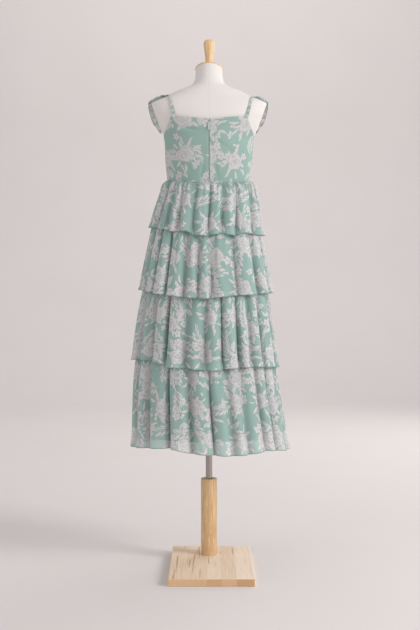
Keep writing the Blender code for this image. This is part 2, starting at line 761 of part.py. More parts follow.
def make_zip():
    """The tape behind the gap, the slider with its bridge, and the hinged pull tab."""
    foot, top = WAIST_LEVELS["back"], BACK_TOP_EDGE[-1][1]
    heights = foot + (top - foot) * np.array(BODICE_ROWS)
    heights[0] += ZIP_END_TRIM
    heights[-1] -= ZIP_END_TRIM
    reach = BODICE_EASE - 2 * SEAM_GAP
    rings = []
    for height in heights:
        middle_y = torso_point(np.array(-math.pi / 2), np.array(height))[1]
        back, front = middle_y - reach, middle_y - reach + ZIP_TAPE_THICKNESS
        side = ZIP_TAPE_WIDTH / 2
        corners = ((-side, back), (side, back), (side, front), (-side, front))
        rings.append(np.array([(x, y, height) for x, y in corners]))
    loft("zip_tape", rings, "lining", 60)

    low, high = SLIDER_MIDDLE - SLIDER_LENGTH / 2, SLIDER_MIDDLE + SLIDER_LENGTH / 2
    face = min(back_face_y(low), back_face_y(high)) - SEAM_GAP
    plate_back = face - SLIDER_PLATE
    half = SLIDER_WIDTH / 2
    slider = box("zip_slider", (-half, plate_back, low), (half, face, high), "zip_metal")
    pivot_y = plate_back - BRIDGE_WINDOW / 2
    pivot_z = SLIDER_MIDDLE
    leg = BRIDGE_WINDOW / 2 + BRIDGE_BAR
    bridge = frame_prism(
        "zip_bridge",
        ((pivot_y - leg, pivot_z - leg), (plate_back + BRIDGE_ROOT, pivot_z + leg)),
        (
            (pivot_y - BRIDGE_WINDOW / 2, pivot_z - BRIDGE_WINDOW / 2),
            (plate_back, pivot_z + BRIDGE_WINDOW / 2),
        ),
        0,
        (-BRIDGE_WIDTH / 2, BRIDGE_WIDTH / 2),
        "zip_metal",
    )
    bridge.hide_render = True
    bridge.display_type = "WIRE"
    join = slider.modifiers.new("bridge", "BOOLEAN")
    join.operation = "UNION"
    join.object = bridge

    bar_top = pivot_z + TAB_BAR / 2
    tab_foot = bar_top - TAB_LENGTH
    frame_prism(
        "zip_pull_tab",
        ((-TAB_WIDTH / 2, tab_foot), (TAB_WIDTH / 2, bar_top)),
        (
            (-TAB_HOLE_WIDTH / 2, bar_top - TAB_BAR - TAB_HOLE_HEIGHT),
            (TAB_HOLE_WIDTH / 2, bar_top - TAB_BAR),
        ),
        1,
        (pivot_y - TAB_THICKNESS / 2, pivot_y + TAB_THICKNESS / 2),
        "zip_metal",
    )
    print(f"pull tab pivot y {pivot_y:.5f} z {pivot_z:.5f}")


def main():
    for old in list(bpy.data.objects):
        bpy.data.objects.remove(old)
    make_stand()
    skin = make_torso()
    make_neck_cap()
    make_finial()
    make_underskirt()
    make_tiers()
    make_bodice()
    make_straps(skin)
    make_ruffles(skin)
    make_zip()


main()
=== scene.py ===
# %% [markdown]
# # A tiered chiffon dress on a dress form
# The CAD gives true sizes, joints and collision, with folds drawn coarsely. This script dresses it: every
# cloth piece becomes a fine grid over the same surfaces, printed and made sheer, and the form and its
# stand get their linen, wood and steel. The bodies and joints of the CAD carry the new pieces. Lengths
# are metres. The dress faces +Y, so the photo, which shows its back, is taken from -Y.

# %% Load the frame
import math

import bpy
import numpy as np
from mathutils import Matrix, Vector
from mathutils.bvhtree import BVHTree


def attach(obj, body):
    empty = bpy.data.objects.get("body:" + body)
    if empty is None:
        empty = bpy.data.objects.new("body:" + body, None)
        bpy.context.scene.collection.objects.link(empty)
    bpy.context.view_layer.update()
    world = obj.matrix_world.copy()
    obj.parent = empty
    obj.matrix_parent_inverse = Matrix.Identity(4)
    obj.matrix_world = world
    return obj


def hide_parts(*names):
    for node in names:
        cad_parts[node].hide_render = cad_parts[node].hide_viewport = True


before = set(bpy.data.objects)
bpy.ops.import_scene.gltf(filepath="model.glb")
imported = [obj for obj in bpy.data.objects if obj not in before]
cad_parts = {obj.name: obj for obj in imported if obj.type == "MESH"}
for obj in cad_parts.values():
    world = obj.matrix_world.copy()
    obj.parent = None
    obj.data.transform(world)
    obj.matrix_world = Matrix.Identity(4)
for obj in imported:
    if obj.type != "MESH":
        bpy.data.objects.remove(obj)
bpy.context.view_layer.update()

# %% [markdown]
# ## Reading tables smoothly
# The form and the skirt are stated as a few sections at heights. They could be modelled by hand or
# simulated, but tables keep the visual pieces on the CAD's surfaces, so hems, seams and the stand stay
# where they were measured. Straight lines between rows would show as creases in the cloth. A cubic
# through the rows, whose slope is the harmonic mean of its neighbours, has no creases and never
# overshoots.

# %% Smooth reading
def smooth_read(table, at, column=1):
    """Cubic Hermite reading; each row's slope is the harmonic mean of the slopes beside it, 0 at a turn."""
    x = np.array([row[0] for row in table], float)
    y = np.array([row[column] for row in table], float)
    rise = np.diff(y) / np.diff(x)
    product = rise[:-1] * rise[1:]
    total = np.where(product > 0, rise[:-1] + rise[1:], 1.0)
    mean = np.where(product > 0, 2 * product / total, 0.0)
    slope = np.concatenate([rise[:1], mean, rise[-1:]])
    at = np.clip(at, x[0], x[-1])
    i = np.clip(np.searchsorted(x, at, side="right") - 1, 0, len(x) - 2)
    width = x[i + 1] - x[i]
    t = (at - x[i]) / width
    rest = 1 - t
    ends = y[i] * (1 + 2 * t) * rest**2 + y[i + 1] * t**2 * (3 - 2 * t)
    return ends + width * (slope[i] * t * rest**2 - slope[i + 1] * t**2 * rest)


print("half way from 0 to 1, read smoothly:", smooth_read(((0, 0), (1, 1)), np.array([0.5])))

# %% [markdown]
# ## Small formulas
# Cloth is never even, and hand-placed wrinkles would take long. A few sines with whole counts a turn give
# an unevenness that closes round a tube, and a seed makes it the same in every run.

# %% Small formulas
def signed_power(value, power):
    """The value's size raised to a power, with its sign kept."""
    return np.sign(value) * np.abs(value) ** power


def waves(angle, counts, seed):
    """The mean of sines with whole counts a turn and seeded phases, from about -1 to 1."""
    phases = np.random.default_rng(seed).uniform(0, 2 * math.pi, len(counts))
    total = sum(np.sin(count * angle + phase) for count, phase in zip(counts, phases))
    return total / len(counts)


def turns_of(columns):
    """Angles of so many columns, evenly round one turn."""
    return np.arange(columns) * 2 * math.pi / columns


def arc_lengths(line):
    """Distance along a line of points from its first: the running sum of its steps."""
    steps = np.linalg.norm(np.diff(line, axis=0), axis=1)
    return np.concatenate([[0.0], np.cumsum(steps)])


def stacked(*parts):
    """The parts spread over one common grid, as the coordinates of its points."""
    return np.stack(np.broadcast_arrays(*parts), axis=-1)


print("mean size of the waves:", np.abs(waves(turns_of(360), (3, 5, 7), 1)).mean().round(2))

# %% [markdown]
# ## Surfaces as grids
# A cloth piece is a grid: one direction runs round the body and one down it. Its map is in metres of flat
# cloth, so that a flower is the same size on every piece. The grid is written to the mesh in one go,
# which is far quicker than adding vertices one by one.

# %% Grid meshes
MIDDLE_OF_FORM = np.array([0.0, 0.0, 1.2])


def grid_faces(rows, columns, closed):
    """Rows and columns of each face's corners: (r, c), (r + 1, c), (r + 1, c + 1), (r, c + 1)."""
    spans = columns if closed else columns - 1
    r, c = np.meshgrid(np.arange(rows - 1), np.arange(spans), indexing="ij")
    return np.stack([r, r + 1, r + 1, r], axis=-1), np.stack([c, c, c + 1, c + 1], axis=-1)


def grid_object(name, points, flat, material, thickness=0.0, closed=False, caps=(), valley=None):
    """An object from a grid of points, rows by columns, and its flat map in metres.

    A closed grid joins its last column to its first, and its map has one column more. caps names end
    rows that get a face of their own. Faces look out from the middle of a capped solid, and from the
    form's middle on a sheet. valley, where given, is a number at each point, kept as an attribute that
    the chiffon turns into painted shade in the folds.
    """
    rows, columns = points.shape[:2]
    row, column = grid_faces(rows, columns, closed)
    corners = row * columns + column % columns
    maps = row * flat.shape[1] + column
    first, second, third, fourth = [points[row[..., k], column[..., k] % columns] for k in range(4)]
    inside = points.mean(axis=(0, 1)) if caps else MIDDLE_OF_FORM
    facing = np.sum(np.cross(third - first, fourth - second) * (first - inside))
    if facing < 0:
        corners, maps = corners[..., ::-1], maps[..., ::-1]
    loops = corners.reshape(-1)
    starts = np.arange(len(loops) // 4) * 4
    texture = flat.reshape(-1, 2)[maps.reshape(-1)]
    for end in caps:
        ring = np.arange(columns) + (0 if end == "first" else (rows - 1) * columns)
        ring = ring if (end == "first") == (facing > 0) else ring[::-1]
        starts = np.append(starts, len(loops))
        loops = np.concatenate([loops, ring])
        texture = np.concatenate([texture, points.reshape(-1, 3)[ring][:, :2]])
    mesh = bpy.data.meshes.new(name)
    mesh.vertices.add(rows * columns)
    mesh.vertices.foreach_set("co", points.reshape(-1).astype(np.float32))
    mesh.loops.add(len(loops))
    mesh.loops.foreach_set("vertex_index", loops.astype(np.int32))
    mesh.polygons.add(len(starts))
    mesh.polygons.foreach_set("loop_start", starts.astype(np.int32))
    mesh.update(calc_edges=True)
    layer = mesh.uv_layers.new(name="flat_cloth")
    layer.data.foreach_set("uv", texture.reshape(-1).astype(np.float32))
    if valley is not None:
        kept = mesh.attributes.new("valley", "FLOAT", "POINT")
        kept.data.foreach_set("value", valley.reshape(-1).astype(np.float32))
    mesh.validate()
    mesh.shade_smooth()
    made = bpy.data.objects.new(name, mesh)
    bpy.context.scene.collection.objects.link(made)
    made.data.materials.append(material)
    if caps:
        mesh.set_sharp_from_angle(angle=math.radians(50))
    if thickness:
        solid = made.modifiers.new("thickness", "SOLIDIFY")
        solid.thickness = thickness
        solid.offset = -1
    print(f"{name}: {len(starts)} faces")
    return made


def put_on_form(piece, slot_name, *nodes):
    """Lets a piece ride on the dress form's body, in place of the CAD nodes that it stands for."""
    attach(piece, "form_and_dress")
    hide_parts(*nodes)


print("faces of a closed grid of 3 by 4:", grid_faces(3, 4, True)[0].size // 4)

# %% [markdown]
# ## Node materials
# Every look is made of shader nodes. A picture of the print would be quicker but fixed in size; nodes
# stay sharp at any distance and keep their size in millimetres. A noise scale is written as cells a
# millimetre, divided by MM.

# %% Colours and nodes
MM = 0.001
# a Mix node's colour sockets are its inputs 6 and 7 and its output 2; its share is 0 for the first colour
COLOURS = {"data_type": "RGBA", "out": 2}


def linear(hex_colour):
    """The linear numbers of an sRGB hex colour: s / 12.92 where dark, else ((s + 0.055) / 1.055) ^ 2.4."""
    parts = [int(hex_colour[i : i + 2], 16) / 255 for i in (1, 3, 5)]
    return (*[p / 12.92 if p <= 0.04045 else ((p + 0.055) / 1.055) ** 2.4 for p in parts], 1.0)


class Look:
    """One material and its nodes."""

    def __init__(self, name):
        self.material = bpy.data.materials.new(name)
        self.material.use_nodes = True
        self.tree = self.material.node_tree
        self.tree.nodes.clear()

    def add(self, kind, *inputs, out=0, named=None, **settings):
        """Adds a node, sets it up, joins its inputs and returns one output.

        "Math:ADD" is a kind and its operation. An input of None keeps the socket's own value.
        """
        kind, _, operation = kind.partition(":")
        made = self.tree.nodes.new("ShaderNode" + kind)
        if operation:
            made.operation = operation
        for key, value in settings.items():
            setattr(made, key, value)
        pairs = [(made.inputs[i], value) for i, value in enumerate(inputs)]
        pairs += [(made.inputs[key], value) for key, value in (named or {}).items()]
        for socket, value in pairs:
            if isinstance(value, bpy.types.NodeSocket):
                self.tree.links.new(value, socket)
            elif value is not None:
                socket.default_value = value
        return made.outputs[out] if made.outputs else made


print("sage green is", [round(v, 3) for v in linear("#aacac4")])

# %% [markdown]
# ## The floral print
# Pale roses, five-petalled flowers, leaf sprays and single leaves lie on a sage ground. Each kind is
# scattered on a jittered lattice: a Voronoi texture gives every point its nearest centre, and the motif
# is a formula in the turned coordinates round that centre. A field is below 0 inside a motif and above 0
# outside it.

# %% Scattering and edges
def scatter(look, flat, pitch, jitter, shift):
    """Coordinates round a jittered lattice's nearest centre, turned at random, and two random numbers."""
    moved = look.add("VectorMath:ADD", flat, (shift, shift * 0.7, 0.0))
    lattice = {"Scale": 1 / pitch, "Randomness": jitter}
    centre = look.add("TexVoronoi", moved, out=2, named=lattice, voronoi_dimensions="2D")
    chance = centre.node.outputs[1]
    offset = look.add("VectorMath:SUBTRACT", moved, centre)
    first = look.add("SeparateColor", chance)
    second, third = first.node.outputs[1], first.node.outputs[2]
    turn = look.add("Math:MULTIPLY", first, 2 * math.pi)
    turned_offset = look.add("VectorRotate", offset, named={"Angle": turn}, rotation_type="Z_AXIS")
    x = look.add("SeparateXYZ", turned_offset)
    return x, x.node.outputs[1], second, third


def polar(look, x, y):
    """Distance, the root of x squared + y squared, and angle of a point."""
    squares = look.add("Math:MULTIPLY_ADD", x, x, look.add("Math:MULTIPLY", y, y))
    return look.add("Math:SQRT", squares), look.add("Math:ARCTAN2", y, x)


def step_down(look, value, edge, soft=0.00035):
    """1 well below the edge and 0 well above it."""
    return look.add("MapRange", value, edge - soft, edge + soft, 1.0, 0.0)


def line_at(look, value, half_width):
    """1 where a value is near a whole number plus a half."""
    part = look.add("Math:FRACT", value)
    off = look.add("Math:ABSOLUTE", look.add("Math:SUBTRACT", part, 0.5))
    return look.add("MapRange", off, half_width * 0.6, half_width * 1.4, 1.0, 0.0)


print("scattering ready")

# %% [markdown]
# ## Leaves
# The photo's print is mostly leaves: long sprays, leaves that point out round a rose, and single ones.
# They could be drawn as curves, but one pointed-leaf formula, read in bent or turned coordinates, serves
# them all.

# %% Leaves
def leaf(look, x, y, half_length, half_width, bend):
    """Distance to a pointed leaf, whose half width falls with the square of the way out, and its rib."""
    share = look.add("Math:DIVIDE", x, half_length)
    square = look.add("Math:MULTIPLY", share, share)
    spine = look.add("Math:MULTIPLY", square, bend)
    off = look.add("Math:ABSOLUTE", look.add("Math:SUBTRACT", y, spine))
    width = look.add("Math:MULTIPLY", look.add("Math:SUBTRACT", 1.0, square), half_width)
    rib = look.add("Math:MULTIPLY", step_down(look, off, 0.0002, 0.0002), step_down(look, square, 0.5, 0.1))
    return look.add("Math:SUBTRACT", off, width), rib


def leaf_ring(look, reach, turn, chance, count, start, half_length, half_width, keep):
    """Leaves pointing out in so many sectors round a centre; some are left out by chance."""
    sector = look.add("Math:MULTIPLY", turn, count / (2 * math.pi))
    whole = look.add("Math:FLOOR", sector)
    part = look.add("Math:SUBTRACT", look.add("Math:FRACT", sector), 0.5)
    local = look.add("Math:MULTIPLY", part, 2 * math.pi / count)
    draw = look.add("TexWhiteNoise", look.add("CombineXYZ", whole, chance), noise_dimensions="2D")
    grow = look.add("MapRange", draw, 0.0, 1.0, -0.004, 0.004)
    along = look.add("Math:MULTIPLY", reach, look.add("Math:COSINE", local))
    across = look.add("Math:MULTIPLY", reach, look.add("Math:SINE", local))
    x = look.add("Math:SUBTRACT", look.add("Math:SUBTRACT", along, start + half_length), grow)
    field, rib = leaf(look, x, across, half_length, half_width, half_length * 0.22)
    missing = look.add("Math:MULTIPLY", look.add("Math:GREATER_THAN", draw, keep), 0.1)
    return look.add("Math:ADD", field, missing), rib


def spray(look, x, y, length, pitch, half_length, half_width, lean=38):
    """An arched stem with leaves in turn to each side, one a pitch, leaning forward by so many degrees."""
    arch = look.add("Math:MULTIPLY", look.add("Math:MULTIPLY", x, x), 6.0)
    off = look.add("Math:SUBTRACT", y, arch)
    size = look.add("Math:ABSOLUTE", off)
    slope, rise = 1 / math.tan(math.radians(lean)), math.sin(math.radians(lean))
    behind = look.add("Math:MULTIPLY_ADD", size, -slope, x)
    in_turn = look.add("Math:MULTIPLY_ADD", look.add("Math:GREATER_THAN", off, 0.0), pitch / 2, behind)
    cell = look.add("Math:SUBTRACT", look.add("Math:FRACT", look.add("Math:DIVIDE", in_turn, pitch)), 0.5)
    across = look.add("Math:MULTIPLY", cell, pitch * rise)
    along = look.add("Math:MULTIPLY_ADD", size, 1 / rise, -half_length * 1.12)
    blade, rib = leaf(look, along, across, half_length, half_width, 0.0)
    shape = look.add("Math:MINIMUM", blade, look.add("Math:SUBTRACT", size, 0.0005))
    middle = look.add("Math:ABSOLUTE", look.add("Math:SUBTRACT", behind, length / 2))
    return look.add("Math:MAXIMUM", shape, look.add("Math:SUBTRACT", middle, length / 2)), rib


print("leaves ready")

# %% [markdown]
# ## Roses and flowers
# A printed rose is a scalloped disc with thin lines for its petals. The lines are rings of lobes, shifted
# from ring to ring, and a spiral in the heart, which reads as a rose at any size. The small flower has
# five petals.

# %% Roses and flowers
def rose(look, reach, turn, radius, wobble):
    """A disc scalloped by the size of a sine, with rings of lobes for petals and a tight spiral heart."""
    lobes = look.add("Math:ABSOLUTE", look.add("Math:SINE", look.add("Math:MULTIPLY", turn, 2.5)))
    edge = look.add("Math:MULTIPLY_ADD", lobes, radius * 0.16, radius * 0.84)
    ring = look.add("Math:MULTIPLY_ADD", reach, 3.4 / radius, wobble)
    whole = look.add("Math:FLOOR", ring)
    shifted = look.add("Math:MULTIPLY_ADD", whole, 1.7, look.add("Math:MULTIPLY", turn, 1.5))
    petals = look.add("Math:ABSOLUTE", look.add("Math:SINE", shifted))
    outline = line_at(look, look.add("Math:MULTIPLY_ADD", petals, 0.75, ring), 0.12)
    veins = line_at(look, look.add("Math:MULTIPLY_ADD", turn, 26 / (2 * math.pi), wobble), 0.10)
    vein_part = look.add("MapRange", look.add("Math:FRACT", ring), 0.35, 0.6, 0.0, 0.7)
    veins = look.add("Math:MULTIPLY", veins, vein_part)
    winding = look.add("Math:MULTIPLY", turn, 1 / (2 * math.pi))
    spiral = look.add("Math:MULTIPLY_ADD", reach, 9.0 / radius, winding)
    near = step_down(look, reach, radius * 0.30, 0.001)
    heart = look.add("Math:MULTIPLY", line_at(look, spiral, 0.20), near)
    lines = look.add("Math:MAXIMUM", outline, look.add("Math:MAXIMUM", veins, heart))
    return look.add("Math:SUBTRACT", reach, edge), lines


def flower(look, reach, turn, radius):
    """Five petals by the size of a cosine, with a ring round the eye and a line between petals."""
    swing = look.add("Math:ABSOLUTE", look.add("Math:COSINE", look.add("Math:MULTIPLY", turn, 2.5)))
    edge = look.add("Math:MULTIPLY_ADD", swing, radius * 0.42, radius * 0.58)
    near = step_down(look, reach, radius * 0.7, 0.001)
    crease = look.add("Math:MULTIPLY", step_down(look, swing, 0.20, 0.10), near)
    from_ring = look.add("Math:ABSOLUTE", look.add("Math:SUBTRACT", reach, radius * 0.24))
    eye = step_down(look, from_ring, 0.0008)
    return look.add("Math:SUBTRACT", reach, edge), look.add("Math:MAXIMUM", crease, eye)


print("roses and flowers ready")

# %% [markdown]
# ## Painting the print
# The kinds are painted one over another, roses last, each with a thin green outline, as a screen print is
# laid over its ground. Sizes are metres of flat cloth. What is kept is the share of each kind's places
# that is used.

# %% The painted print
SPRAYS = {"pitch": 0.082, "jitter": 0.85, "shift": 0.31}
LEAVES = {"pitch": 0.060, "jitter": 0.90, "shift": 0.77}
ROSES = {"pitch": 0.100, "jitter": 0.60, "shift": 0.13}
FLOWERS = {"pitch": 0.029, "jitter": 0.60, "shift": 0.53}
SPRAYS_KEPT, LEAVES_KEPT, FLOWERS_KEPT, FLOWER_PATCHES = 0.82, 0.36, 0.66, 0.48
SPRAY = {"length": 0.070, "pitch": 0.0135, "half_length": 0.0150, "half_width": 0.0033}
LEAF = {"half_length": 0.0180, "half_width": 0.0078, "bend": 0.004}
OUTER_RING = {"count": 9, "start": 0.028, "half_length": 0.0150, "half_width": 0.0036, "keep": 0.62}
INNER_RING = {"count": 7, "start": 0.018, "half_length": 0.0120, "half_width": 0.0045, "keep": 0.66}
ROSE_RADIUS, FLOWER_RADIUS = 0.0255, 0.0120
HATCH_PITCH = 0.0024
OUTLINE = 0.0007


def left_out(look, field, chance, limit):
    """Pushes a field far above 0, so that nothing is painted, where a random number is over a limit."""
    return look.add("Math:MULTIPLY_ADD", look.add("Math:GREATER_THAN", chance, limit), 0.1, field)


def blend(look, share, first, second):
    """first + share x (second - first)."""
    change = look.add("Math:SUBTRACT", second, first)
    return look.add("Math:MULTIPLY_ADD", share, change, first)


def paint(look, before, field, lines):
    """Lays a motif over what is painted: pale inside, green along its lines and in a thin outline."""
    pale = look.add("Math:MULTIPLY_ADD", lines, -0.72, 1.0)
    inside = look.add("Math:MULTIPLY", step_down(look, field, 0.0), pale)
    return blend(look, step_down(look, field, OUTLINE), before, inside)


def floral_print(look, flat):
    """How much pale ink lies at a point of flat cloth, from 0 to 1."""
    soft = look.add("TexNoise", flat, named={"Scale": 0.070 / MM, "Detail": 1.0}, noise_dimensions="2D")
    wobble = look.add("MapRange", soft, 0.3, 0.7, -0.35, 0.35)
    bent = look.add("VectorMath:MULTIPLY_ADD", soft.node.outputs[1], (0.006, 0.006, 0.0), flat)
    patches = look.add("TexNoise", flat, named={"Scale": 0.010 / MM, "Detail": 1.0}, noise_dimensions="2D")

    x, y, chance, _ = scatter(look, bent, **SPRAYS)
    field, lines = spray(look, look.add("Math:ADD", x, 0.037), y, **SPRAY)
    ink = paint(look, 0.0, left_out(look, field, chance, SPRAYS_KEPT), lines)

    x, y, chance, _ = scatter(look, bent, **LEAVES)
    field, lines = leaf(look, x, y, **LEAF)
    diagonal = look.add("Math:MULTIPLY", look.add("Math:ADD", x, y), 1 / HATCH_PITCH)
    lines = look.add("Math:MAXIMUM", lines, line_at(look, diagonal, 0.16))
    ink = paint(look, ink, left_out(look, field, chance, LEAVES_KEPT), lines)

    x, y, outer_chance, inner_chance = scatter(look, bent, **ROSES)
    reach, turn = polar(look, x, y)
    field, lines = leaf_ring(look, reach, turn, outer_chance, **OUTER_RING)
    ink = paint(look, ink, field, lines)
    between = look.add("Math:ADD", turn, 0.45)
    field, lines = leaf_ring(look, reach, between, inner_chance, **INNER_RING)
    ink = paint(look, ink, field, lines)

    x, y, chance, _ = scatter(look, bent, **FLOWERS)
    flower_reach, flower_turn = polar(look, x, y)
    field, lines = flower(look, flower_reach, flower_turn, FLOWER_RADIUS)
    in_patches = left_out(look, field, patches, FLOWER_PATCHES)
    ink = paint(look, ink, left_out(look, in_patches, chance, FLOWERS_KEPT), lines)

    field, lines = rose(look, reach, turn, ROSE_RADIUS, wobble)
    ink = paint(look, ink, field, lines)
    worn = look.add("TexNoise", flat, named={"Scale": 0.420 / MM, "Detail": 2.0}, noise_dimensions="2D")
    return look.add("Math:MULTIPLY", ink, look.add("MapRange", worn, 0.25, 0.6, 0.72, 1.0))


print("a rose each", ROSES["pitch"] / MM, "mm")

# %% [markdown]
# ## Chiffon and lining
# Crepe chiffon is matt and sheer: light passes, and what lies close behind shows. Below the lining's hem
# the dress is only chiffon, so it turns paler there. An alpha below 1 and a share of Translucent give
# both.

# %% Printed chiffon
SHEER = {"low": "#aacac4", "high": "#b9d5d0", "ink": "#ebe2e5"}
LINED = {"low": "#96b6af", "high": "#a5c3bb", "ink": "#dfd7d9"}
HEM = "#6f9388"
CREPE = {"Roughness": 0.85, "Sheen Weight": 0.25, "Sheen Roughness": 0.5, "Specular IOR Level": 0.2}
LIGHT_THROUGH = 0.18


def chiffon(name, colours, opacity, ink_opacity, shift=(0.0, 0.0), hemmed=False, folded=False):
    """Printed crepe chiffon: matt, slightly sheer, finely crinkled and, if hemmed, with a rolled edge.

    The map's v is a whole number plus the distance above the hem, so its fraction tells the rolled edge. If
    folded, the grid's valley attribute paints shade into the colour in the valleys of folds and a little
    painted light on the ridges. The real crepe's threads are too fine to show and are drawn 0.9 mm apart.
    """
    look = Look(name)
    flat = look.add("TexCoord", out=2)
    moved = look.add("VectorMath:ADD", flat, (*shift, 0.0))
    ink = floral_print(look, moved)
    dye = look.add("TexNoise", moved, named={"Scale": 0.014 / MM, "Detail": 3.0})
    shades = {6: linear(colours["low"]), 7: linear(colours["high"])}
    ground = look.add("Mix", dye, named=shades, **COLOURS)
    colour = look.add("Mix", ink, named={6: ground, 7: linear(colours["ink"])}, **COLOURS)
    alpha = look.add("MapRange", ink, 0.0, 1.0, opacity, ink_opacity)
    if hemmed:
        axis = look.add("SeparateXYZ", flat)
        above = look.add("Math:FRACT", axis.node.outputs[1])
        rolled = step_down(look, above, 0.0022, 0.0006)
        share = look.add("Math:MULTIPLY", rolled, 0.7)
        colour = look.add("Mix", share, named={6: colour, 7: linear(HEM)}, **COLOURS)
        alpha = look.add("Math:MAXIMUM", alpha, rolled)
    # painted shade in the valleys of folds and painted light on the ridges, read from the grid's valley
    # attribute
    if folded:
        valley = look.add("Attribute", out=2, attribute_name="valley")
        shade = look.add("MapRange", valley, 0.0, 1.0, 1.03, 0.70)
        colour = look.add("VectorMath:SCALE", colour, named={"Scale": shade})
    crepe = look.add("TexNoise", moved, named={"Scale": 1.1 / MM, "Detail": 2.0})
    crinkle = look.add("TexNoise", moved, named={"Scale": 0.16 / MM, "Detail": 3.0})
    surface = look.add("Math:MULTIPLY_ADD", crinkle, 2.0, crepe)
    bump = look.add("Bump", named={"Strength": 0.25, "Distance": 0.0004, "Height": surface})
    dyed = {"Base Color": colour, "Alpha": alpha, "Normal": bump}
    cloth = look.add("BsdfPrincipled", named={**dyed, **CREPE})
    through = look.add("BsdfTranslucent", named={"Color": colour, "Normal": bump})
    sheer_through = look.add("MixShader", alpha, look.add("BsdfTransparent"), through)
    look.add("OutputMaterial", look.add("MixShader", LIGHT_THROUGH, cloth, sheer_through))
    return look.material


tier_cloth = chiffon("printed chiffon, one sheer layer", SHEER, 0.58, 0.80, hemmed=True, folded=True)
bodice_cloth = chiffon("printed chiffon, lined", LINED, 1.0, 1.0, shift=(0.178, 0.609))
strap_cloth = chiffon("printed chiffon, folded", LINED, 0.95, 0.98, shift=(0.51, 0.37))
ruffle_cloth = chiffon("printed chiffon, ruffle", SHEER, 0.60, 0.80, shift=(0.33, 0.0), hemmed=True)
print("chiffon of the tiers:", len(tier_cloth.node_tree.nodes), "nodes")

# %% [markdown]
# ## The lining
# A lining is a plain, close weave with hardly any shine. It is a shade darker than the ground of the sheer
# chiffon, so that the layers over it read as depth.

# %% The lining
def lining_cloth():
    """Plain matt lining in the ground colour, woven so finely that only a soft grain shows."""
    look = Look("sage lining")
    flat = look.add("TexCoord", out=2)
    grain = look.add("TexNoise", flat, named={"Scale": 0.9 / MM, "Detail": 2.0})
    colour = look.add("Mix", grain, named={6: linear("#a3c0b9"), 7: linear("#afcbc4")}, **COLOURS)
    bump = look.add("Bump", named={"Strength": 0.2, "Distance": 0.0003, "Height": grain})
    cloth = look.add("BsdfPrincipled", named={"Base Color": colour, "Roughness": 0.7, "Normal": bump})
    look.add("OutputMaterial", cloth)
    return look.material


lining = lining_cloth()
print("lining:", len(lining.node_tree.nodes), "nodes")

# %% [markdown]
# ## The skirt's measures
# Four gathered tiers hang over an underskirt, whose sections are stated at heights. Each tier has a hem
# level on four sides, a lift where its drape pulls it up, a stand-off down its drop, and the valleys
# between its folds, read off the photo. Angles are degrees from the wearer's right (+X) through the back
# (-Y).

# %% Measures of the underskirt
# height, half width
UNDERSKIRT = (
    (0.340, 0.2060),
    (0.386, 0.2040),
    (0.630, 0.1880),
    (0.850, 0.1670),
    (1.040, 0.1420),
    (1.140, 0.1265),
    (1.170, 0.1262),
)
UNDERSKIRT_HEM = 0.386
# height and depth over width, roundness, middle y and middle x there
DEPTH_RATIO = ((0.35, 0.80), (0.80, 0.77), (1.16, 0.700))
ROUNDNESS = ((0.35, 2.0), (0.95, 2.0), (1.14, 2.3), (1.16, 2.3))
MIDDLE_Y = ((0.35, 0.000), (0.95, 0.000), (1.16, 0.004))
MIDDLE_X = ((0.35, 0.004), (0.60, -0.010), (1.00, -0.009), (1.12, 0.000))
WAIST = {"right": 1.155, "back": 1.1416, "left": 1.157, "front": 1.150}
WAIST_RATIO = DEPTH_RATIO[-1][1]
WAIST_MEAN = 1.148
CLOTH = 0.0005
SEAM_LAP = 0.0012
SEAM_GAP = 0.0003
print("underskirt", UNDERSKIRT[1][1] * 2, "m wide at its hem")

# %% [markdown]
# ## The tiers' measures
# hem is the height at four sides. lift holds angles and the rise of the hem there. shares holds shares of
# the drop and the mean stand-off from the underskirt there. valleys holds the angle and the depth factor
# of each valley of the back; the front has the same valleys, turned round.

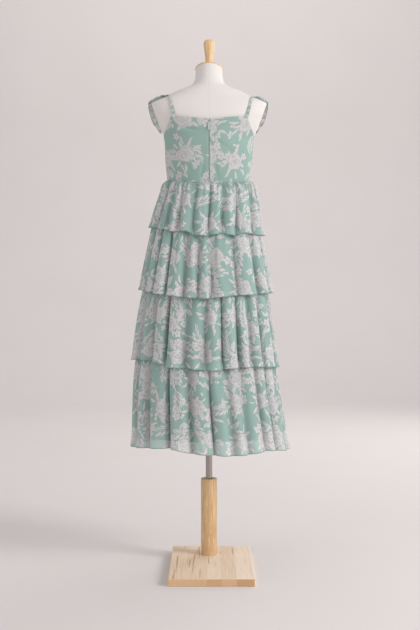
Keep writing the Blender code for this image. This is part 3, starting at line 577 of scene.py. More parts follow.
# %% Measures of the tiers
TIERS = (
    {
        "hem": {"right": 0.994, "back": 0.982, "left": 1.018, "front": 0.990},
        "lift": (
            (25, 0.0), (48, 0.011), (60, 0.003), (73, 0.013), (90, 0.003),
            (103, 0.002), (110, 0.012), (124, 0.002), (170, 0.0),
        ),
        "shares": ((0.0, 0.0018), (0.06, 0.0095), (0.20, 0.0150), (0.50, 0.0195), (1.0, 0.0225)),
        "depth": 0.0068,
        "valleys": (
            (13, 0.8), (32, 1.0), (57, 1.3), (74, 0.9), (88, 1.3),
            (103, 1.2), (119, 1.0), (134, 0.7), (149, 1.2), (166, 0.9),
        ),
    },
    {
        "hem": {"right": 0.819, "back": 0.801, "left": 0.829, "front": 0.810},
        "lift": ((15, 0.0), (40, 0.004), (68, 0.008), (85, 0.001), (168, 0.0)),
        "shares": ((0.0, 0.0018), (0.08, 0.0120), (0.22, 0.0175), (0.50, 0.0220), (1.0, 0.0280)),
        "depth": 0.0086,
        "valleys": (
            (16, 0.8), (36, 1.1), (61, 1.2), (85, 1.0), (97, 1.0),
            (109, 0.9), (127, 1.6), (141, 1.7), (156, 0.9), (170, 0.8),
        ),
    },
    {
        "hem": {"right": 0.595, "back": 0.595, "left": 0.617, "front": 0.600},
        "lift": (
            (10, 0.0), (47, 0.010), (66, 0.009), (85, 0.0), (106, 0.001),
            (124, -0.001), (128, 0.007), (139, 0.011), (175, 0.0),
        ),
        "shares": ((0.0, 0.0018), (0.08, 0.0130), (0.22, 0.0190), (0.50, 0.0225), (1.0, 0.0260)),
        "depth": 0.0092,
        "valleys": (
            (18, 0.9), (37, 1.3), (50, 0.9), (62, 1.2), (76, 1.4),
            (90, 1.0), (106, 0.8), (124, 1.8), (139, 1.2), (160, 0.8),
        ),
    },
    {
        "hem": {"right": 0.347, "back": 0.350, "left": 0.353, "front": 0.350},
        "lift": (
            (10, 0.0), (45, 0.010), (58, 0.003), (72, 0.0), (92, 0.003),
            (106, 0.006), (114, 0.015), (124, 0.017), (175, 0.0),
        ),
        "shares": ((0.0, 0.0018), (0.06, 0.0130), (0.17, 0.0200), (0.50, 0.0230), (1.0, 0.0275)),
        "depth": 0.0092,
        "valleys": (
            (15, 0.8), (33, 1.1), (45, 1.1), (60, 1.0), (72, 0.9),
            (87, 1.4), (103, 1.1), (121, 1.8), (142, 1.1), (163, 0.8),
        ),
    },
)
TIER_OVERLAP = 0.036
REST_GAP = 0.0032
print("valleys on the back of each tier:", [len(tier["valleys"]) for tier in TIERS])

# %% [markdown]
# ## The underskirt's surface
# Everything in the skirt is laid on one surface, a superellipse at each height, and stands off it along a
# level direction. Hems and the waist seam are levels that lean and dip, because the dress hangs a little
# askew.

# %% The underskirt's surface and the levels round it
def level_round(levels, angle):
    """Height of a level line: the mean of the two sides, a lean by cosine, a dip by sine squared."""
    sides = (levels["right"] + levels["left"]) / 2
    lean = (levels["right"] - levels["left"]) / 2 * np.cos(angle)
    middle = np.where(np.sin(angle) > 0, levels["back"], levels["front"])
    return sides + lean + (middle - sides) * np.sin(angle) ** 2


def waist_level(point):
    """Height of the waist seam in the level direction of a point."""
    return level_round(WAIST, np.arctan2(-point[..., 1] / WAIST_RATIO, point[..., 0]))


def skirt_frame(angle, height):
    """A point of the underskirt, a superellipse at each height, and the level outward direction there."""
    half_width = smooth_read(UNDERSKIRT, height)
    ratio = smooth_read(DEPTH_RATIO, height)
    power = 2 / smooth_read(ROUNDNESS, height)
    cosine, sine = np.cos(angle), np.sin(angle)
    x = smooth_read(MIDDLE_X, height) + half_width * signed_power(cosine, power)
    y = smooth_read(MIDDLE_Y, height) - half_width * ratio * signed_power(sine, power)
    outward = np.stack([cosine * ratio, -sine, np.zeros_like(sine)], axis=-1)
    outward /= np.linalg.norm(outward, axis=-1, keepdims=True)
    return np.stack([x, y, height + 0 * angle], axis=-1), outward


def hem_level(tier, angle):
    """Height of a tier's hem: the level line plus the lift of its own drape."""
    degrees = np.degrees(angle) % 360
    lift = np.interp(degrees, [row[0] for row in tier["lift"]], [row[1] for row in tier["lift"]])
    return level_round(tier["hem"], angle) + lift


def tier_levels(index, angle):
    """Top and hem of a tier; the top is the waist seam or lies an overlap above the hem before it."""
    if index == 0:
        top = waist_level(skirt_frame(angle, np.full(np.shape(angle), WAIST_MEAN))[0]) + SEAM_LAP
    else:
        top = hem_level(TIERS[index - 1], angle) + TIER_OVERLAP
    return top, hem_level(TIERS[index], angle)


print("drop of each tier at the back:", end=" ")
print([round(float(np.subtract(*tier_levels(k, np.array(math.pi / 2)))), 3) for k in range(len(TIERS))])

# %% [markdown]
# ## Folds
# Gathered chiffon falls in round ridges with narrow valleys, and is bunched in small gathers under its
# seam. A cloth simulation could not be held to the photo's folds, and formulas can: the stand-off is the
# mean from the table, plus folds that grow down the drop, plus gathers that die out, plus crumple. A hem
# lies on the tier below wherever that stands further out.

# %% Folds of a tier
FOLD_GAIN = 1.12
# depth of the gathers and the drop over which they fade, for each tier
GATHERS = ((0.01392, 0.045), (0.00912, 0.060), (0.00912, 0.060), (0.00912, 0.060))
SWING = 0.32
HEM_CURL = 0.0030


def fold_phase(tier, angle):
    """Where an angle lies between two valleys, from 0 to 1, and the depth factor there."""
    back = np.array(tier["valleys"], float)
    valleys = np.concatenate([back[:, 0], back[:, 0] + 180])
    depths = np.tile(back[:, 1], 2)
    turns = np.concatenate([valleys[-1:] - 360, valleys, valleys[:1] + 360])
    weights = np.concatenate([depths[-1:], depths, depths[:1]])
    degrees = np.degrees(angle) % 360
    step = np.interp(degrees, turns, np.arange(len(turns)))
    return step - np.floor(step), np.interp(degrees, turns, weights)


def fold_profile(part, weight):
    """-cos of the way between valleys; the deeper the valley, the nearer to 2 x root of a sine - 1.2."""
    round_fold = -np.cos(2 * math.pi * part)
    sharp_fold = 2 * np.sin(math.pi * part) ** 0.5 - 1.2
    sharpness = np.clip((weight - 0.9) / 0.6, 0, 1)
    return round_fold + (sharp_fold - round_fold) * sharpness


def own_reach(index, angle, height):
    """A tier's stand-off before it rests on the next; -1 above its top.

    It is the mean of the table + folds that grow with the root of the drop + gathers, round between narrow
    creases, and finer pinches, which both die out exponentially below the seam + crumple.
    """
    tier = TIERS[index]
    top, hem = tier_levels(index, angle)
    drop = top - hem
    share = (top - height) / drop
    down = np.clip(share, 0, 1.2)
    drift = 0.03 * waves(angle, (2, 3, 5), 10 + index) * (down - 0.5)
    part, weight = fold_phase(tier, angle + drift)
    calm = 0.95 + 0.45 * waves(angle + 0.4 * down, (3, 5, 7), 50 + index)
    fold = FOLD_GAIN * tier["depth"] * np.sqrt(down) * weight**1.3 * calm * fold_profile(part, weight)
    depth, fade = GATHERS[index]
    strength = 0.6 + 0.4 * waves(angle, (7, 11, 13), 20 + index)
    rise = 0.35 + 0.65 * np.clip(down * drop / 0.008, 0, 1)
    crease = np.sqrt(waves(angle, (23, 31), 30 + index) ** 2 + 0.03)
    gathers = depth * strength * np.exp(-down * drop / fade) * rise * crease
    pinches = 0.0011 * np.exp(-down * drop / 0.013) * waves(angle, (131, 157), 60 + index)
    crumple = 0.0030 * np.sqrt(down) * waves(angle + 0.12 * down, (17, 23, 31, 43, 59), 40 + index)
    reach = smooth_read(tier["shares"], down) + fold + gathers + pinches + crumple
    return np.where(share < 0, -1.0, np.maximum(reach, CLOTH + 0.0004))


def tier_points(index, columns, shares):
    """The grid of a tier: underskirt + outward x stand-off + a sideways swing that undercuts valleys.

    Its valley is a third at the row's mean stand-off, 1 deep in a fold and 0 on a ridge. The depth that it is
    measured by grows with the root of the drop, from half a fold to one and a half.
    """
    angle = turns_of(columns)
    top, hem = tier_levels(index, angle)
    angles = np.tile(angle, (len(shares), 1))
    share = np.array(shares)[:, None]
    heights = top + (hem - top) * share
    reach = own_reach(index, angles, heights)
    if index + 1 < len(TIERS):
        below = own_reach(index + 1, angles, heights) + REST_GAP
        reach = np.maximum(reach, below)
    base, outward = skirt_frame(angles, heights)
    part, weight = fold_phase(TIERS[index], angles)
    swing = SWING * TIERS[index]["depth"] * weight * np.sin(2 * math.pi * part) * np.sqrt(share)
    sideways = np.stack([-outward[..., 1], outward[..., 0], np.zeros_like(swing)], axis=-1)
    curl = HEM_CURL * np.clip((share - 0.88) / 0.12, 0, 1) ** 2
    depth = 1.5 * TIERS[index]["depth"] * (0.33 + 0.67 * np.sqrt(share))
    # the valley is painted into the chiffon's colour as shade: darker in the folds, lighter on the ridges
    valley = np.clip(1 / 3 + (reach.mean(axis=1, keepdims=True) - reach) / depth, 0, 1)
    return base + outward * (reach + curl)[..., None] + sideways * swing[..., None], valley


print("stand-off round tier 1's hem:", end=" ")
print(own_reach(0, turns_of(8), hem_level(TIERS[0], turns_of(8))).round(4))

# %% [markdown]
# ## The underskirt
# It is two flared panels sewn at the sides, hung from the waist seam. The tiers hide it down to its hem,
# which shows through the last tier, so a tube of a few thousand faces does.

# %% The underskirt
rows, columns = 28, 180
angle = turns_of(columns)
top = tier_levels(0, angle)[0] - SEAM_LAP - SEAM_GAP
shares = np.linspace(0, 1, rows)[:, None]
base, outward = skirt_frame(np.tile(angle, (rows, 1)), top + (UNDERSKIRT_HEM - top) * shares)
lengths = arc_lengths(np.vstack([base[-1], base[-1][:1]]))
flat_drop = float((top - UNDERSKIRT_HEM).mean())
flat = stacked(lengths[None, :], -flat_drop * shares)
underskirt = grid_object("underskirt", base - outward * 0.0004, flat, lining, CLOTH, closed=True)
put_on_form(underskirt, "lining", "underskirt_back", "underskirt_front")
print(f"underskirt: {lengths[-1]:.3f} m round the hem, {flat_drop:.3f} m down")

# %% [markdown]
# ## The four tiers
# A tier is a long strip gathered to the tier before it. Its rows lie closer near the seam and at the hem,
# where the gathers and the rolled edge need them. The map's v is the tier's number plus the distance
# above the hem, so that each tier has a print of its own and the material finds the hem.

# %% The four tiers
tube_columns = 720
tier_shares = np.concatenate([
    np.linspace(0, 0.22, 14)[:-1],
    np.linspace(0.22, 0.96, 24)[:-1],
    np.linspace(0.96, 0.988, 4)[:-1],
    np.linspace(0.988, 1.0, 4),
])
# the row above the rolled edge, round which a strip is measured
ABOVE_HEM = -5
for index in range(len(TIERS)):
    name = f"tier_{index + 1}"
    columns = tube_columns * 4 // 3 if index == 0 else tube_columns
    points, valley = tier_points(index, columns, tier_shares)
    lengths = arc_lengths(np.vstack([points[ABOVE_HEM], points[ABOVE_HEM][:1]]))
    drops = arc_lengths(points[:, 0])
    flat = stacked(lengths[None, :], (index + 1 + drops[-1] - drops)[:, None])
    tier = grid_object(name, points, flat, tier_cloth, CLOTH, closed=True, valley=valley)
    put_on_form(tier, "printed_chiffon", name + "_back", name + "_front")
    print(f"{name}: flat strip {lengths[-1]:.3f} x {drops[-1]:.3f} m")

# %% [markdown]
# ## The form
# The torso is a stack of superellipses with flat arm plates and a tilted neck. It could be sculpted, but
# the bodice, straps and ruffles are laid on the same formula, so they fit it by construction.

# %% Measures and surface of the form
# height, half width, half depth, middle y, roundness of the section
TORSO = (
    (0.800, 0.118, 0.082, -0.004, 2.2),
    (0.835, 0.128, 0.090, -0.005, 2.2),
    (0.880, 0.134, 0.095, -0.006, 2.2),
    (0.930, 0.135, 0.095, -0.006, 2.2),
    (1.010, 0.126, 0.086, -0.001, 2.2),
    (1.090, 0.1165, 0.079, 0.004, 2.2),
    (1.150, 0.1205, 0.083, 0.004, 2.3),
    (1.220, 0.1270, 0.091, 0.002, 2.4),
    (1.276, 0.1290, 0.094, -0.002, 2.4),
    (1.300, 0.1410, 0.093, -0.004, 2.4),
    (1.330, 0.1600, 0.090, -0.008, 2.4),
    (1.360, 0.1760, 0.082, -0.012, 2.5),
    (1.385, 0.1800, 0.070, -0.015, 2.5),
    (1.3965, 0.1610, 0.064, -0.017, 2.4),
    (1.4087, 0.1310, 0.059, -0.017, 2.3),
    (1.4264, 0.0980, 0.054, -0.015, 2.2),
    (1.4370, 0.0720, 0.051, -0.012, 2.1),
    (1.4480, 0.0515, 0.048, -0.009, 2.0),
    (1.4600, 0.0440, 0.045, -0.005, 2.0),
    (1.4790, 0.0408, 0.043, -0.002, 2.0),
    (1.4945, 0.0405, 0.043, 0.000, 2.0),
)
TORSO_FOOT, NECK_TOP = TORSO[0][0], TORSO[-1][0]
NECK_TILT, NECK_TILT_FROM = 0.30, 1.448
ARM_FOOT_X, ARM_FOOT_Z, ARM_SLOPE = 0.1310, 1.272, 0.37
ARM_ROUNDING = 0.0030


def torso_point(turn, height, grown=0.0, cut=True):
    """A point of the skin: a superellipse by height, whose width a smooth minimum cuts to the plates."""
    half_width, half_depth, middle, roundness = [smooth_read(TORSO, height, k) for k in (1, 2, 3, 4)]
    x = (half_width + grown) * signed_power(np.cos(turn), 2 / roundness)
    y = middle + (half_depth + grown) * signed_power(np.sin(turn), 2 / roundness)
    if cut:
        plate = ARM_FOOT_X + ARM_SLOPE * (height - ARM_FOOT_Z)
        limit = np.where(height > ARM_FOOT_Z - 0.02, plate, 1.0)
        size = np.abs(x)
        past = np.clip((size - limit) / ARM_ROUNDING, -40, 40)
        x = np.sign(x) * (size - ARM_ROUNDING * np.logaddexp(0.0, past))
    return stacked(x, y, height)


print("half width of the chest:", torso_point(np.array(0.0), np.array(1.276))[0].round(4))

# %% [markdown]
# ## Linen
# The form's cover is a white plain weave with thin slubs, stretched over foam and seamed on the centre
# line. Its threads, 0.7 mm apart, are coarser than real ones so that they show.

# %% White linen
def linen_cover():
    """The weave is a product of two sines; long noise makes the slubs and a groove makes the seam."""
    look = Look("white linen cover")
    place = look.add("TexCoord", out=3)
    across = look.add("SeparateXYZ", place)
    up = across.node.outputs[2]
    warp = look.add("Math:SINE", look.add("Math:MULTIPLY", across, 2 * math.pi / (0.7 * MM)))
    weft = look.add("Math:SINE", look.add("Math:MULTIPLY", up, 2 * math.pi / (0.7 * MM)))
    weave = look.add("Math:MULTIPLY", warp, weft)
    level_place = look.add("VectorMath:MULTIPLY", place, (0.09 / MM, 0.09 / MM, 1.1 / MM))
    level = look.add("TexNoise", level_place, named={"Scale": 1.0})
    upright_place = look.add("VectorMath:MULTIPLY", place, (1.1 / MM, 1.1 / MM, 0.09 / MM))
    upright = look.add("TexNoise", upright_place, named={"Scale": 1.0})
    slub = look.add("Math:MULTIPLY", look.add("Math:ADD", level, upright), 0.5)
    seam = look.add("Math:ABSOLUTE", look.add("Math:ADD", across, 0.0005))
    groove = look.add("MapRange", seam, 0.0003, 0.0011, 1.0, 0.0)
    tone = look.add("MapRange", slub, 0.3, 0.7, 0.0, 1.0)
    cloth = look.add("Mix", tone, named={6: linear("#dcd8d5"), 7: linear("#e3e0dd")}, **COLOURS)
    share = look.add("Math:MULTIPLY", groove, 0.15)
    colour = look.add("Mix", share, named={6: cloth, 7: linear("#b9aca0")}, **COLOURS)
    threads = look.add("Math:MULTIPLY_ADD", slub, 1.5, look.add("Math:MULTIPLY", weave, 0.3))
    height = look.add("Math:MULTIPLY_ADD", groove, -4.0, threads)
    bump = look.add("Bump", named={"Strength": 0.3, "Distance": 0.0004, "Height": height})
    finish = {"Base Color": colour, "Roughness": 0.9, "Normal": bump, "Sheen Weight": 0.1}
    look.add("OutputMaterial", look.add("BsdfPrincipled", named=finish))
    return look.material


linen = linen_cover()
print("linen:", len(linen.node_tree.nodes), "nodes")

# %% [markdown]
# ## The form's cover
# The skin's rings are closer at the shoulders, where it curves most. The neck's rings tilt with the cap.
# Below, the skin turns in to the hole of the mast, which is closed 72 mm up. The pieces laid on the form
# later ask this mesh where its surface is.

# %% The form's cover
COVER_COLUMNS = 200
MAST_HOLE_RADIUS, MAST_HOLE_DEPTH = 0.0103, 0.072
# the linen reads places and not the map, so the map's size is only roughly true
COVER_ROUND, COVER_ROW = 0.75, 0.005
turn = turns_of(COVER_COLUMNS)
ring_heights = np.concatenate([np.linspace(TORSO_FOOT, 1.25, 40)[:-1], np.linspace(1.25, NECK_TOP, 90)])
rings = torso_point(turn[None, :], ring_heights[:, None])
tilts = NECK_TILT * np.clip((ring_heights - NECK_TILT_FROM) / (NECK_TOP - NECK_TILT_FROM), 0, 1)
rings[..., 2] -= tilts[:, None] * (rings[..., 1] - rings[..., 1].mean(axis=1, keepdims=True))
hole = stacked(MAST_HOLE_RADIUS * np.cos(turn), MAST_HOLE_RADIUS * np.sin(turn), TORSO_FOOT)
roof = hole + [0.0, 0.0, MAST_HOLE_DEPTH]
cover_grid = np.array([roof, hole, *rings])
lengths = np.linspace(0, COVER_ROUND, COVER_COLUMNS + 1)
flat = stacked(lengths[None, :], np.arange(len(cover_grid))[:, None] * COVER_ROW)
torso = grid_object("torso_cover", cover_grid[::-1], flat, linen, closed=True, caps=("first", "last"))
put_on_form(torso, "form_linen", "form_torso")
skin = BVHTree.FromObject(torso, bpy.context.evaluated_depsgraph_get())
print("cover from", TORSO_FOOT, "to", round(float(rings[..., 2].max()), 4), "m")

# %% [markdown]
# ## The bodice
# Three panels follow the form 5.5 mm off it: a front, and two backs that meet at the zip. The top edge is
# cut square and a little uneven, as light cloth is on a narrow facing. Small dents stand for the pull of
# the cloth. Each panel could be one copy of the form grown by an offset, but a grid of its own gives it a
# straight grain.

# %% Measures of the bodice
# degrees from the side seam, height of the top edge
BACK_TOP = ((0, 1.277), (15, 1.289), (30, 1.300), (45, 1.3205), (53, 1.3385), (56, 1.3400), (90, 1.3310))
FRONT_TOP = ((0, 1.277), (15, 1.287), (30, 1.297), (45, 1.3145), (53, 1.329), (56, 1.3300), (90, 1.3260))
# x, height, half length, half width, degrees, depth of each soft crease of the back
CREASES = (
    (-0.058, 1.303, 0.026, 0.0050, -8, 0.0026),
    (-0.030, 1.236, 0.034, 0.0060, 35, 0.0020),
    (0.028, 1.262, 0.030, 0.0060, -30, 0.0020),
    (0.060, 1.196, 0.034, 0.0060, 20, 0.0018),
    (-0.080, 1.205, 0.028, 0.0060, -40, 0.0020),
    (0.085, 1.290, 0.026, 0.0050, 60, 0.0022),
    (-0.020, 1.180, 0.030, 0.0050, 78, 0.0018),
    (0.022, 1.176, 0.026, 0.0050, 100, 0.0018),
)
BODICE_OFF = 0.0055
# two layers of chiffon and a lining
BODICE_CLOTH = 0.0009
# turns an angle at the bodice into a length round it
BODICE_RADIUS = 0.155
SIDE_SEAM = 0.0012
ZIP_SEAM = SEAM_GAP / BODICE_RADIUS
print("bodice back, middle height:", round(BACK_TOP[-1][1] - WAIST["back"], 3), "m")

# %% [markdown]
# ## Bodice panels
# A panel's rows run from its top edge to the waist seam. The map keeps true metres across and up. The
# backs are cut from different places of the cloth, so the print doesn't match at the zip, which is usual.

# %% Bodice panels
def dents(place):
    """The sum of the creases at points of the back, each a bell, long one way and narrow the other."""
    depth = np.zeros(place.shape[:2])
    for x, z, long, wide, degrees, deep in CREASES:
        c, s = math.cos(math.radians(degrees)), math.sin(math.radians(degrees))
        along = (place[..., 0] - x) * c + (place[..., 2] - z) * s
        across = (place[..., 2] - z) * c - (place[..., 0] - x) * s
        depth += deep * np.exp(-((along / long) ** 2) - (across / wide) ** 2)
    return depth


def bodice_grid(start, end, top_edge, columns, rows, is_back):
    """Skin + 5.5 mm - creases + the waist seam's pull - the facing's line + a frill at the top edge."""
    angle = np.linspace(start, end, columns)
    from_side = np.degrees(np.arccos(np.abs(np.cos(angle))))
    uneven = 0.0011 * waves(angle, (37, 53, 71), 7) + 0.0005 * waves(angle, (113, 149), 8)
    top = smooth_read(top_edge, from_side) + uneven * np.interp(from_side, (38, 56), (0.2, 1.0))
    foot = waist_level(torso_point(-angle, np.full(columns, WAIST_MEAN), BODICE_OFF, cut=False))
    share = np.linspace(0, 1, rows)[:, None] ** 1.15
    heights = top + (foot - top) * share
    angles = np.tile(angle, (rows, 1))
    depth = dents(torso_point(-angles, heights, cut=False)) if is_back else 0.0
    seam_pull = 0.0006 * np.exp(-(heights - foot) / 0.006) * waves(angles, (61, 89, 107), 9)
    facing = 0.0004 * np.exp(-(((top - heights) - 0.006) / 0.0012) ** 2)
    frill = 0.0007 * np.exp(-(top - heights) / 0.004) * waves(angles, (47, 67, 83), 11)
    points = torso_point(-angles, heights, BODICE_OFF - depth + seam_pull - facing + frill, cut=False)
    return points, stacked(arc_lengths(points[rows // 2])[None, :], heights)


zip_angle, left_side, right_side = math.pi / 2, math.pi, 2 * math.pi
panels = (
    ("bodice_back_right", SIDE_SEAM, zip_angle - ZIP_SEAM, BACK_TOP, 110, True),
    ("bodice_back_left", zip_angle + ZIP_SEAM, left_side - SIDE_SEAM, BACK_TOP, 110, True),
    ("bodice_front", left_side + SIDE_SEAM, right_side - SIDE_SEAM, FRONT_TOP, 200, False),
)
for name, start, end, edge, columns, is_back in panels:
    points, flat = bodice_grid(start, end, edge, columns, 90, is_back)
    if is_back:
        flat[..., 0] += start * BODICE_RADIUS
    panel = grid_object(name + "_panel", points, flat, bodice_cloth, BODICE_CLOTH)
    put_on_form(panel, "printed_chiffon", name)

# %% [markdown]
# ## Where the straps run
# A strap is a narrow folded band over the shoulder. It could follow a drawn curve, but the form's skin
# decides where a strap lies, so rays from inside the form find the skin in the strap's own upright plane.
# A ray's lift is 0 degrees to the front, 90 straight up and 180 to the back.

# %% Strap paths on the form
STRAP_WIDTH = 0.009
STRAP_CUT = 0.020
STRAP_THICK = 0.0008
STRAP_REST = 0.005
STRAP_TUCK = 0.002
STRAP_FROM_SIDE = 54
STRAP_LIFTS = np.arange(6.0, 175.0, 3.0)
STRAPS = (
    {"side": "left", "sign": -1, "back_x": 0.1020, "top_x": 0.1255, "front_x": 0.1040, "reach": 1.000},
    {"side": "right", "sign": 1, "back_x": 0.1090, "top_x": 0.1410, "front_x": 0.1080, "reach": 0.975},
)
LOWEST_EYE, EYE_OVER_PLATE = 1.300, 0.018


def skin_point(x, lift):
    """Where a ray in the upright plane at x leaves the form; it starts inside, above the arm plate."""
    plate_z = ARM_FOOT_Z + (abs(x) - ARM_FOOT_X) / ARM_SLOPE
    eye_z = max(LOWEST_EYE, plate_z + EYE_OVER_PLATE)
    eye = Vector((x, float(smooth_read(TORSO, np.array(eye_z), 3)), eye_z))
    along = Vector((0, math.cos(math.radians(lift)), math.sin(math.radians(lift))))
    return skin.ray_cast(eye, along)[0]


def strap_path(strap, offset=0.0):
    """The form under the strap, moved sideways by offset: a row of lift, x, y and z for each lift."""
    share = np.minimum(np.abs(STRAP_LIFTS - 90) / 70, 1.0)
    end = np.where(STRAP_LIFTS > 90, strap["back_x"], strap["front_x"])
    x = strap["sign"] * (strap["top_x"] + (end - strap["top_x"]) * share + offset)
    return [(lift, *skin_point(float(at), float(lift))) for at, lift in zip(x, STRAP_LIFTS)]


def read_path(path, lifts, grown):
    """Points of a path at the given lifts, moved out along their rays by grown."""
    points = np.stack([smooth_read(path, lifts, column) for column in (1, 2, 3)], axis=-1)
    rays = np.stack([0 * lifts, np.cos(np.radians(lifts)), np.sin(np.radians(lifts))], axis=-1)
    return points + rays * (grown + 0 * lifts)[:, None]


def strap_ends(path):
    """Lifts at which the strap reaches the bodice's top edge, in front and behind."""
    lifts = np.array([row[0] for row in path])
    heights = np.array([row[3] for row in path]) + STRAP_REST * np.sin(np.radians(lifts))
    ends = []
    for edge, half in ((FRONT_TOP, lifts < 80), (BACK_TOP, lifts > 100)):
        edge_z = np.interp(STRAP_FROM_SIDE, [row[0] for row in edge], [row[1] for row in edge])
        order = np.argsort(heights[half])
        ends.append(float(np.interp(edge_z - STRAP_TUCK, heights[half][order], lifts[half][order])))
    return ends


for strap in STRAPS:
    print(strap["side"], "strap meets the bodice at lifts", np.round(strap_ends(strap_path(strap)), 1))

# %% [markdown]
# ## The strap bands
# A strip is folded to 9 mm and sewn, so it is a flat tube that crinkles a little along its edges. It
# eases off the form toward its ends, where the bodice under it stands off the form.

# %% The strap bands
STRAP_ROWS, STRAP_SIDES = 150, 16


def strap_grid(strap):
    """At each lift a rounded oblong, 9 mm wide and rippled by a product of two sines, across the path."""
    path = strap_path(strap)
    front, back = strap_ends(path)
    lifts = np.linspace(back, front, STRAP_ROWS)
    near_end = np.minimum(lifts - front, back - lifts)
    ease = 0.0012 + 0.0040 * np.maximum(0.0, 1 - near_end / 22) ** 1.5
    centres = read_path(path, lifts, ease)
    along = np.gradient(centres, axis=0)
    along /= np.linalg.norm(along, axis=1, keepdims=True)
    across = np.cross(along, np.cross([1.0, 0.0, 0.0], along))
    across /= np.linalg.norm(across, axis=1, keepdims=True)
    raised = np.cross(along, across)
    raised *= np.sign(raised[STRAP_ROWS // 2, 2])
    turn = turns_of(STRAP_SIDES)
    wide = STRAP_WIDTH / 2 * signed_power(np.cos(turn), 0.6)
    thick = STRAP_THICK * signed_power(np.sin(turn), 0.8)
    length = arc_lengths(centres)
    ripple = 1 + 0.07 * np.sin(length / 0.0042 * 2 * math.pi) * np.sin(length / 0.031)
    grid = centres[:, None] + across[:, None] * (wide * ripple[:, None])[..., None]
    grid = grid + raised[:, None] * (thick[None, :, None] + 0.0010)
    return grid, stacked(np.linspace(0, STRAP_CUT, STRAP_SIDES + 1)[None, :], length[:, None])


for strap in STRAPS:
    print(strap["side"], "strap:", strap_grid(strap)[1][-1, 0, 1].round(3), "m long")

# %% [markdown]
# ## The flutter ruffles
# A ruffle is gathered into the strap's outer edge, stands over the shoulder and falls in front of the
# arm. Its free edge comes from a short table, because the photo shows where it stands; gathers and waves
# are sines between the two. Points that would enter the form are pushed out of it.

# %% The ruffles
# share of the ruffle's length from the back, x, y, z of its free edge
RUFFLE_EDGE = (
    (0.00, 0.1500, -0.0360, 1.3950),
    (0.12, 0.1740, -0.0260, 1.3930),
    (0.32, 0.1830, 0.0020, 1.3960),
    (0.55, 0.1850, 0.0300, 1.3840),
    (0.78, 0.1770, 0.0600, 1.3520),
    (1.00, 0.1500, 0.0760, 1.3140),
)
RUFFLE_BACK, RUFFLE_FRONT = 108, 34
RUFFLE_WAVES = 8
RUFFLE_MAP = 7


def clear_of_form(points, gaps):
    """Moves each row of points to its gap from the form or more, along the normal at the nearest point."""
    place, normal = np.empty((2, len(torso.data.vertices) * 3), np.float32)
    torso.data.vertices.foreach_get("co", place)
    torso.data.vertices.foreach_get("normal", normal)
    place, normal = place.reshape(-1, 3), normal.reshape(-1, 3)
    low, high = points.min(axis=(0, 1)) - 0.02, points.max(axis=(0, 1)) + 0.02
    close = np.all((place > low) & (place < high), axis=1)
    place, normal = place[close], normal[close]
    for row, gap in zip(points, gaps):
        nearest = np.argmin(((row[:, None] - place[None]) ** 2).sum(axis=-1), axis=1)
        out = normal[nearest]
        short = gap - np.sum((row - place[nearest]) * out, axis=1)
        row += out * np.maximum(short, 0)[:, None]


def ruffle_grid(strap, columns, rows):
    """From the seam to the free edge in a straight line + an arch + gathers that fade + waves that grow."""
    share = np.linspace(0, 1, columns)
    path = strap_path(strap, STRAP_WIDTH / 2)
    seam_line = read_path(path, RUFFLE_BACK + (RUFFLE_FRONT - RUFFLE_BACK) * share, 0.0014)
    edge = np.stack([smooth_read(RUFFLE_EDGE, share, k) for k in (1, 2, 3)], axis=1)
    edge[:, 0] *= strap["sign"] * strap["reach"]
    a = np.linspace(0, 1, rows)[:, None]
    gathers = np.sin(2 * math.pi * 27 * share) * 0.6 + 0.4 * np.sin(2 * math.pi * 41 * share + 1)
    phase = 2 * math.pi * RUFFLE_WAVES * share
    wide_waves = np.sin(phase + 0.6 * np.sin(9 * share))
    gather_lift = 0.0011 * gathers * np.exp(-a * 3) * np.minimum(1, a * 8)
    lift = 0.0080 * np.sin(math.pi * a) + 0.0030 * a**1.5 * wide_waves + gather_lift
    points = seam_line[None] + (edge - seam_line)[None] * a[..., None]
    lean = stacked(0.35 * strap["sign"], 0.3 * np.sin(phase + 1), 1.0)
    points = points + lift[..., None] * lean[None]
    points[..., 1] += 0.0022 * a**1.5 * np.sin(phase + 1.4)
    clear_of_form(points, 0.0012 + 0.0016 * np.minimum(1.0, a[:, 0] * 4))
    along = arc_lengths(points[-2])
    down = arc_lengths(points[:, columns // 2])
    flat = stacked(along[None, :], RUFFLE_MAP + down[-1] - down[:, None])
    return points, flat, float(along[-1]), float(down[-1])


print("ruffles with", RUFFLE_WAVES, "waves from lift", RUFFLE_BACK, "to", RUFFLE_FRONT)

# %% [markdown]
# ## Both shoulders
# The photo's two straps differ: the left one sits nearer the neck and its ruffle reaches a little
# further. The same functions make both sides, from the two rows of the straps' table.

# %% Straps and ruffles on both shoulders
ruffle_columns, ruffle_rows = 260, 22
for strap in STRAPS:
    side = strap["side"]
    grid, flat = strap_grid(strap)
    length = float(flat[-1, 0, 1])
    band = grid_object("strap_band_" + side, grid, flat, strap_cloth, closed=True, caps=("first", "last"))
    put_on_form(band, "printed_chiffon", "strap_" + side)
    points, flat, length, depth = ruffle_grid(strap, ruffle_columns, ruffle_rows)
    ruffle = grid_object("flutter_ruffle_" + side, points, flat, ruffle_cloth, CLOTH)
    put_on_form(ruffle, "printed_chiffon", "ruffle_" + side)
    print(f"{side} ruffle: flat {length:.3f} x {depth:.3f} m")

# %% [markdown]
# ## The zip's slider and tab
# An invisible zip closes the back. The CAD's slider and tab are right in shape, so they only get a
# material: enamel on metal, a hard gloss that wears a little.

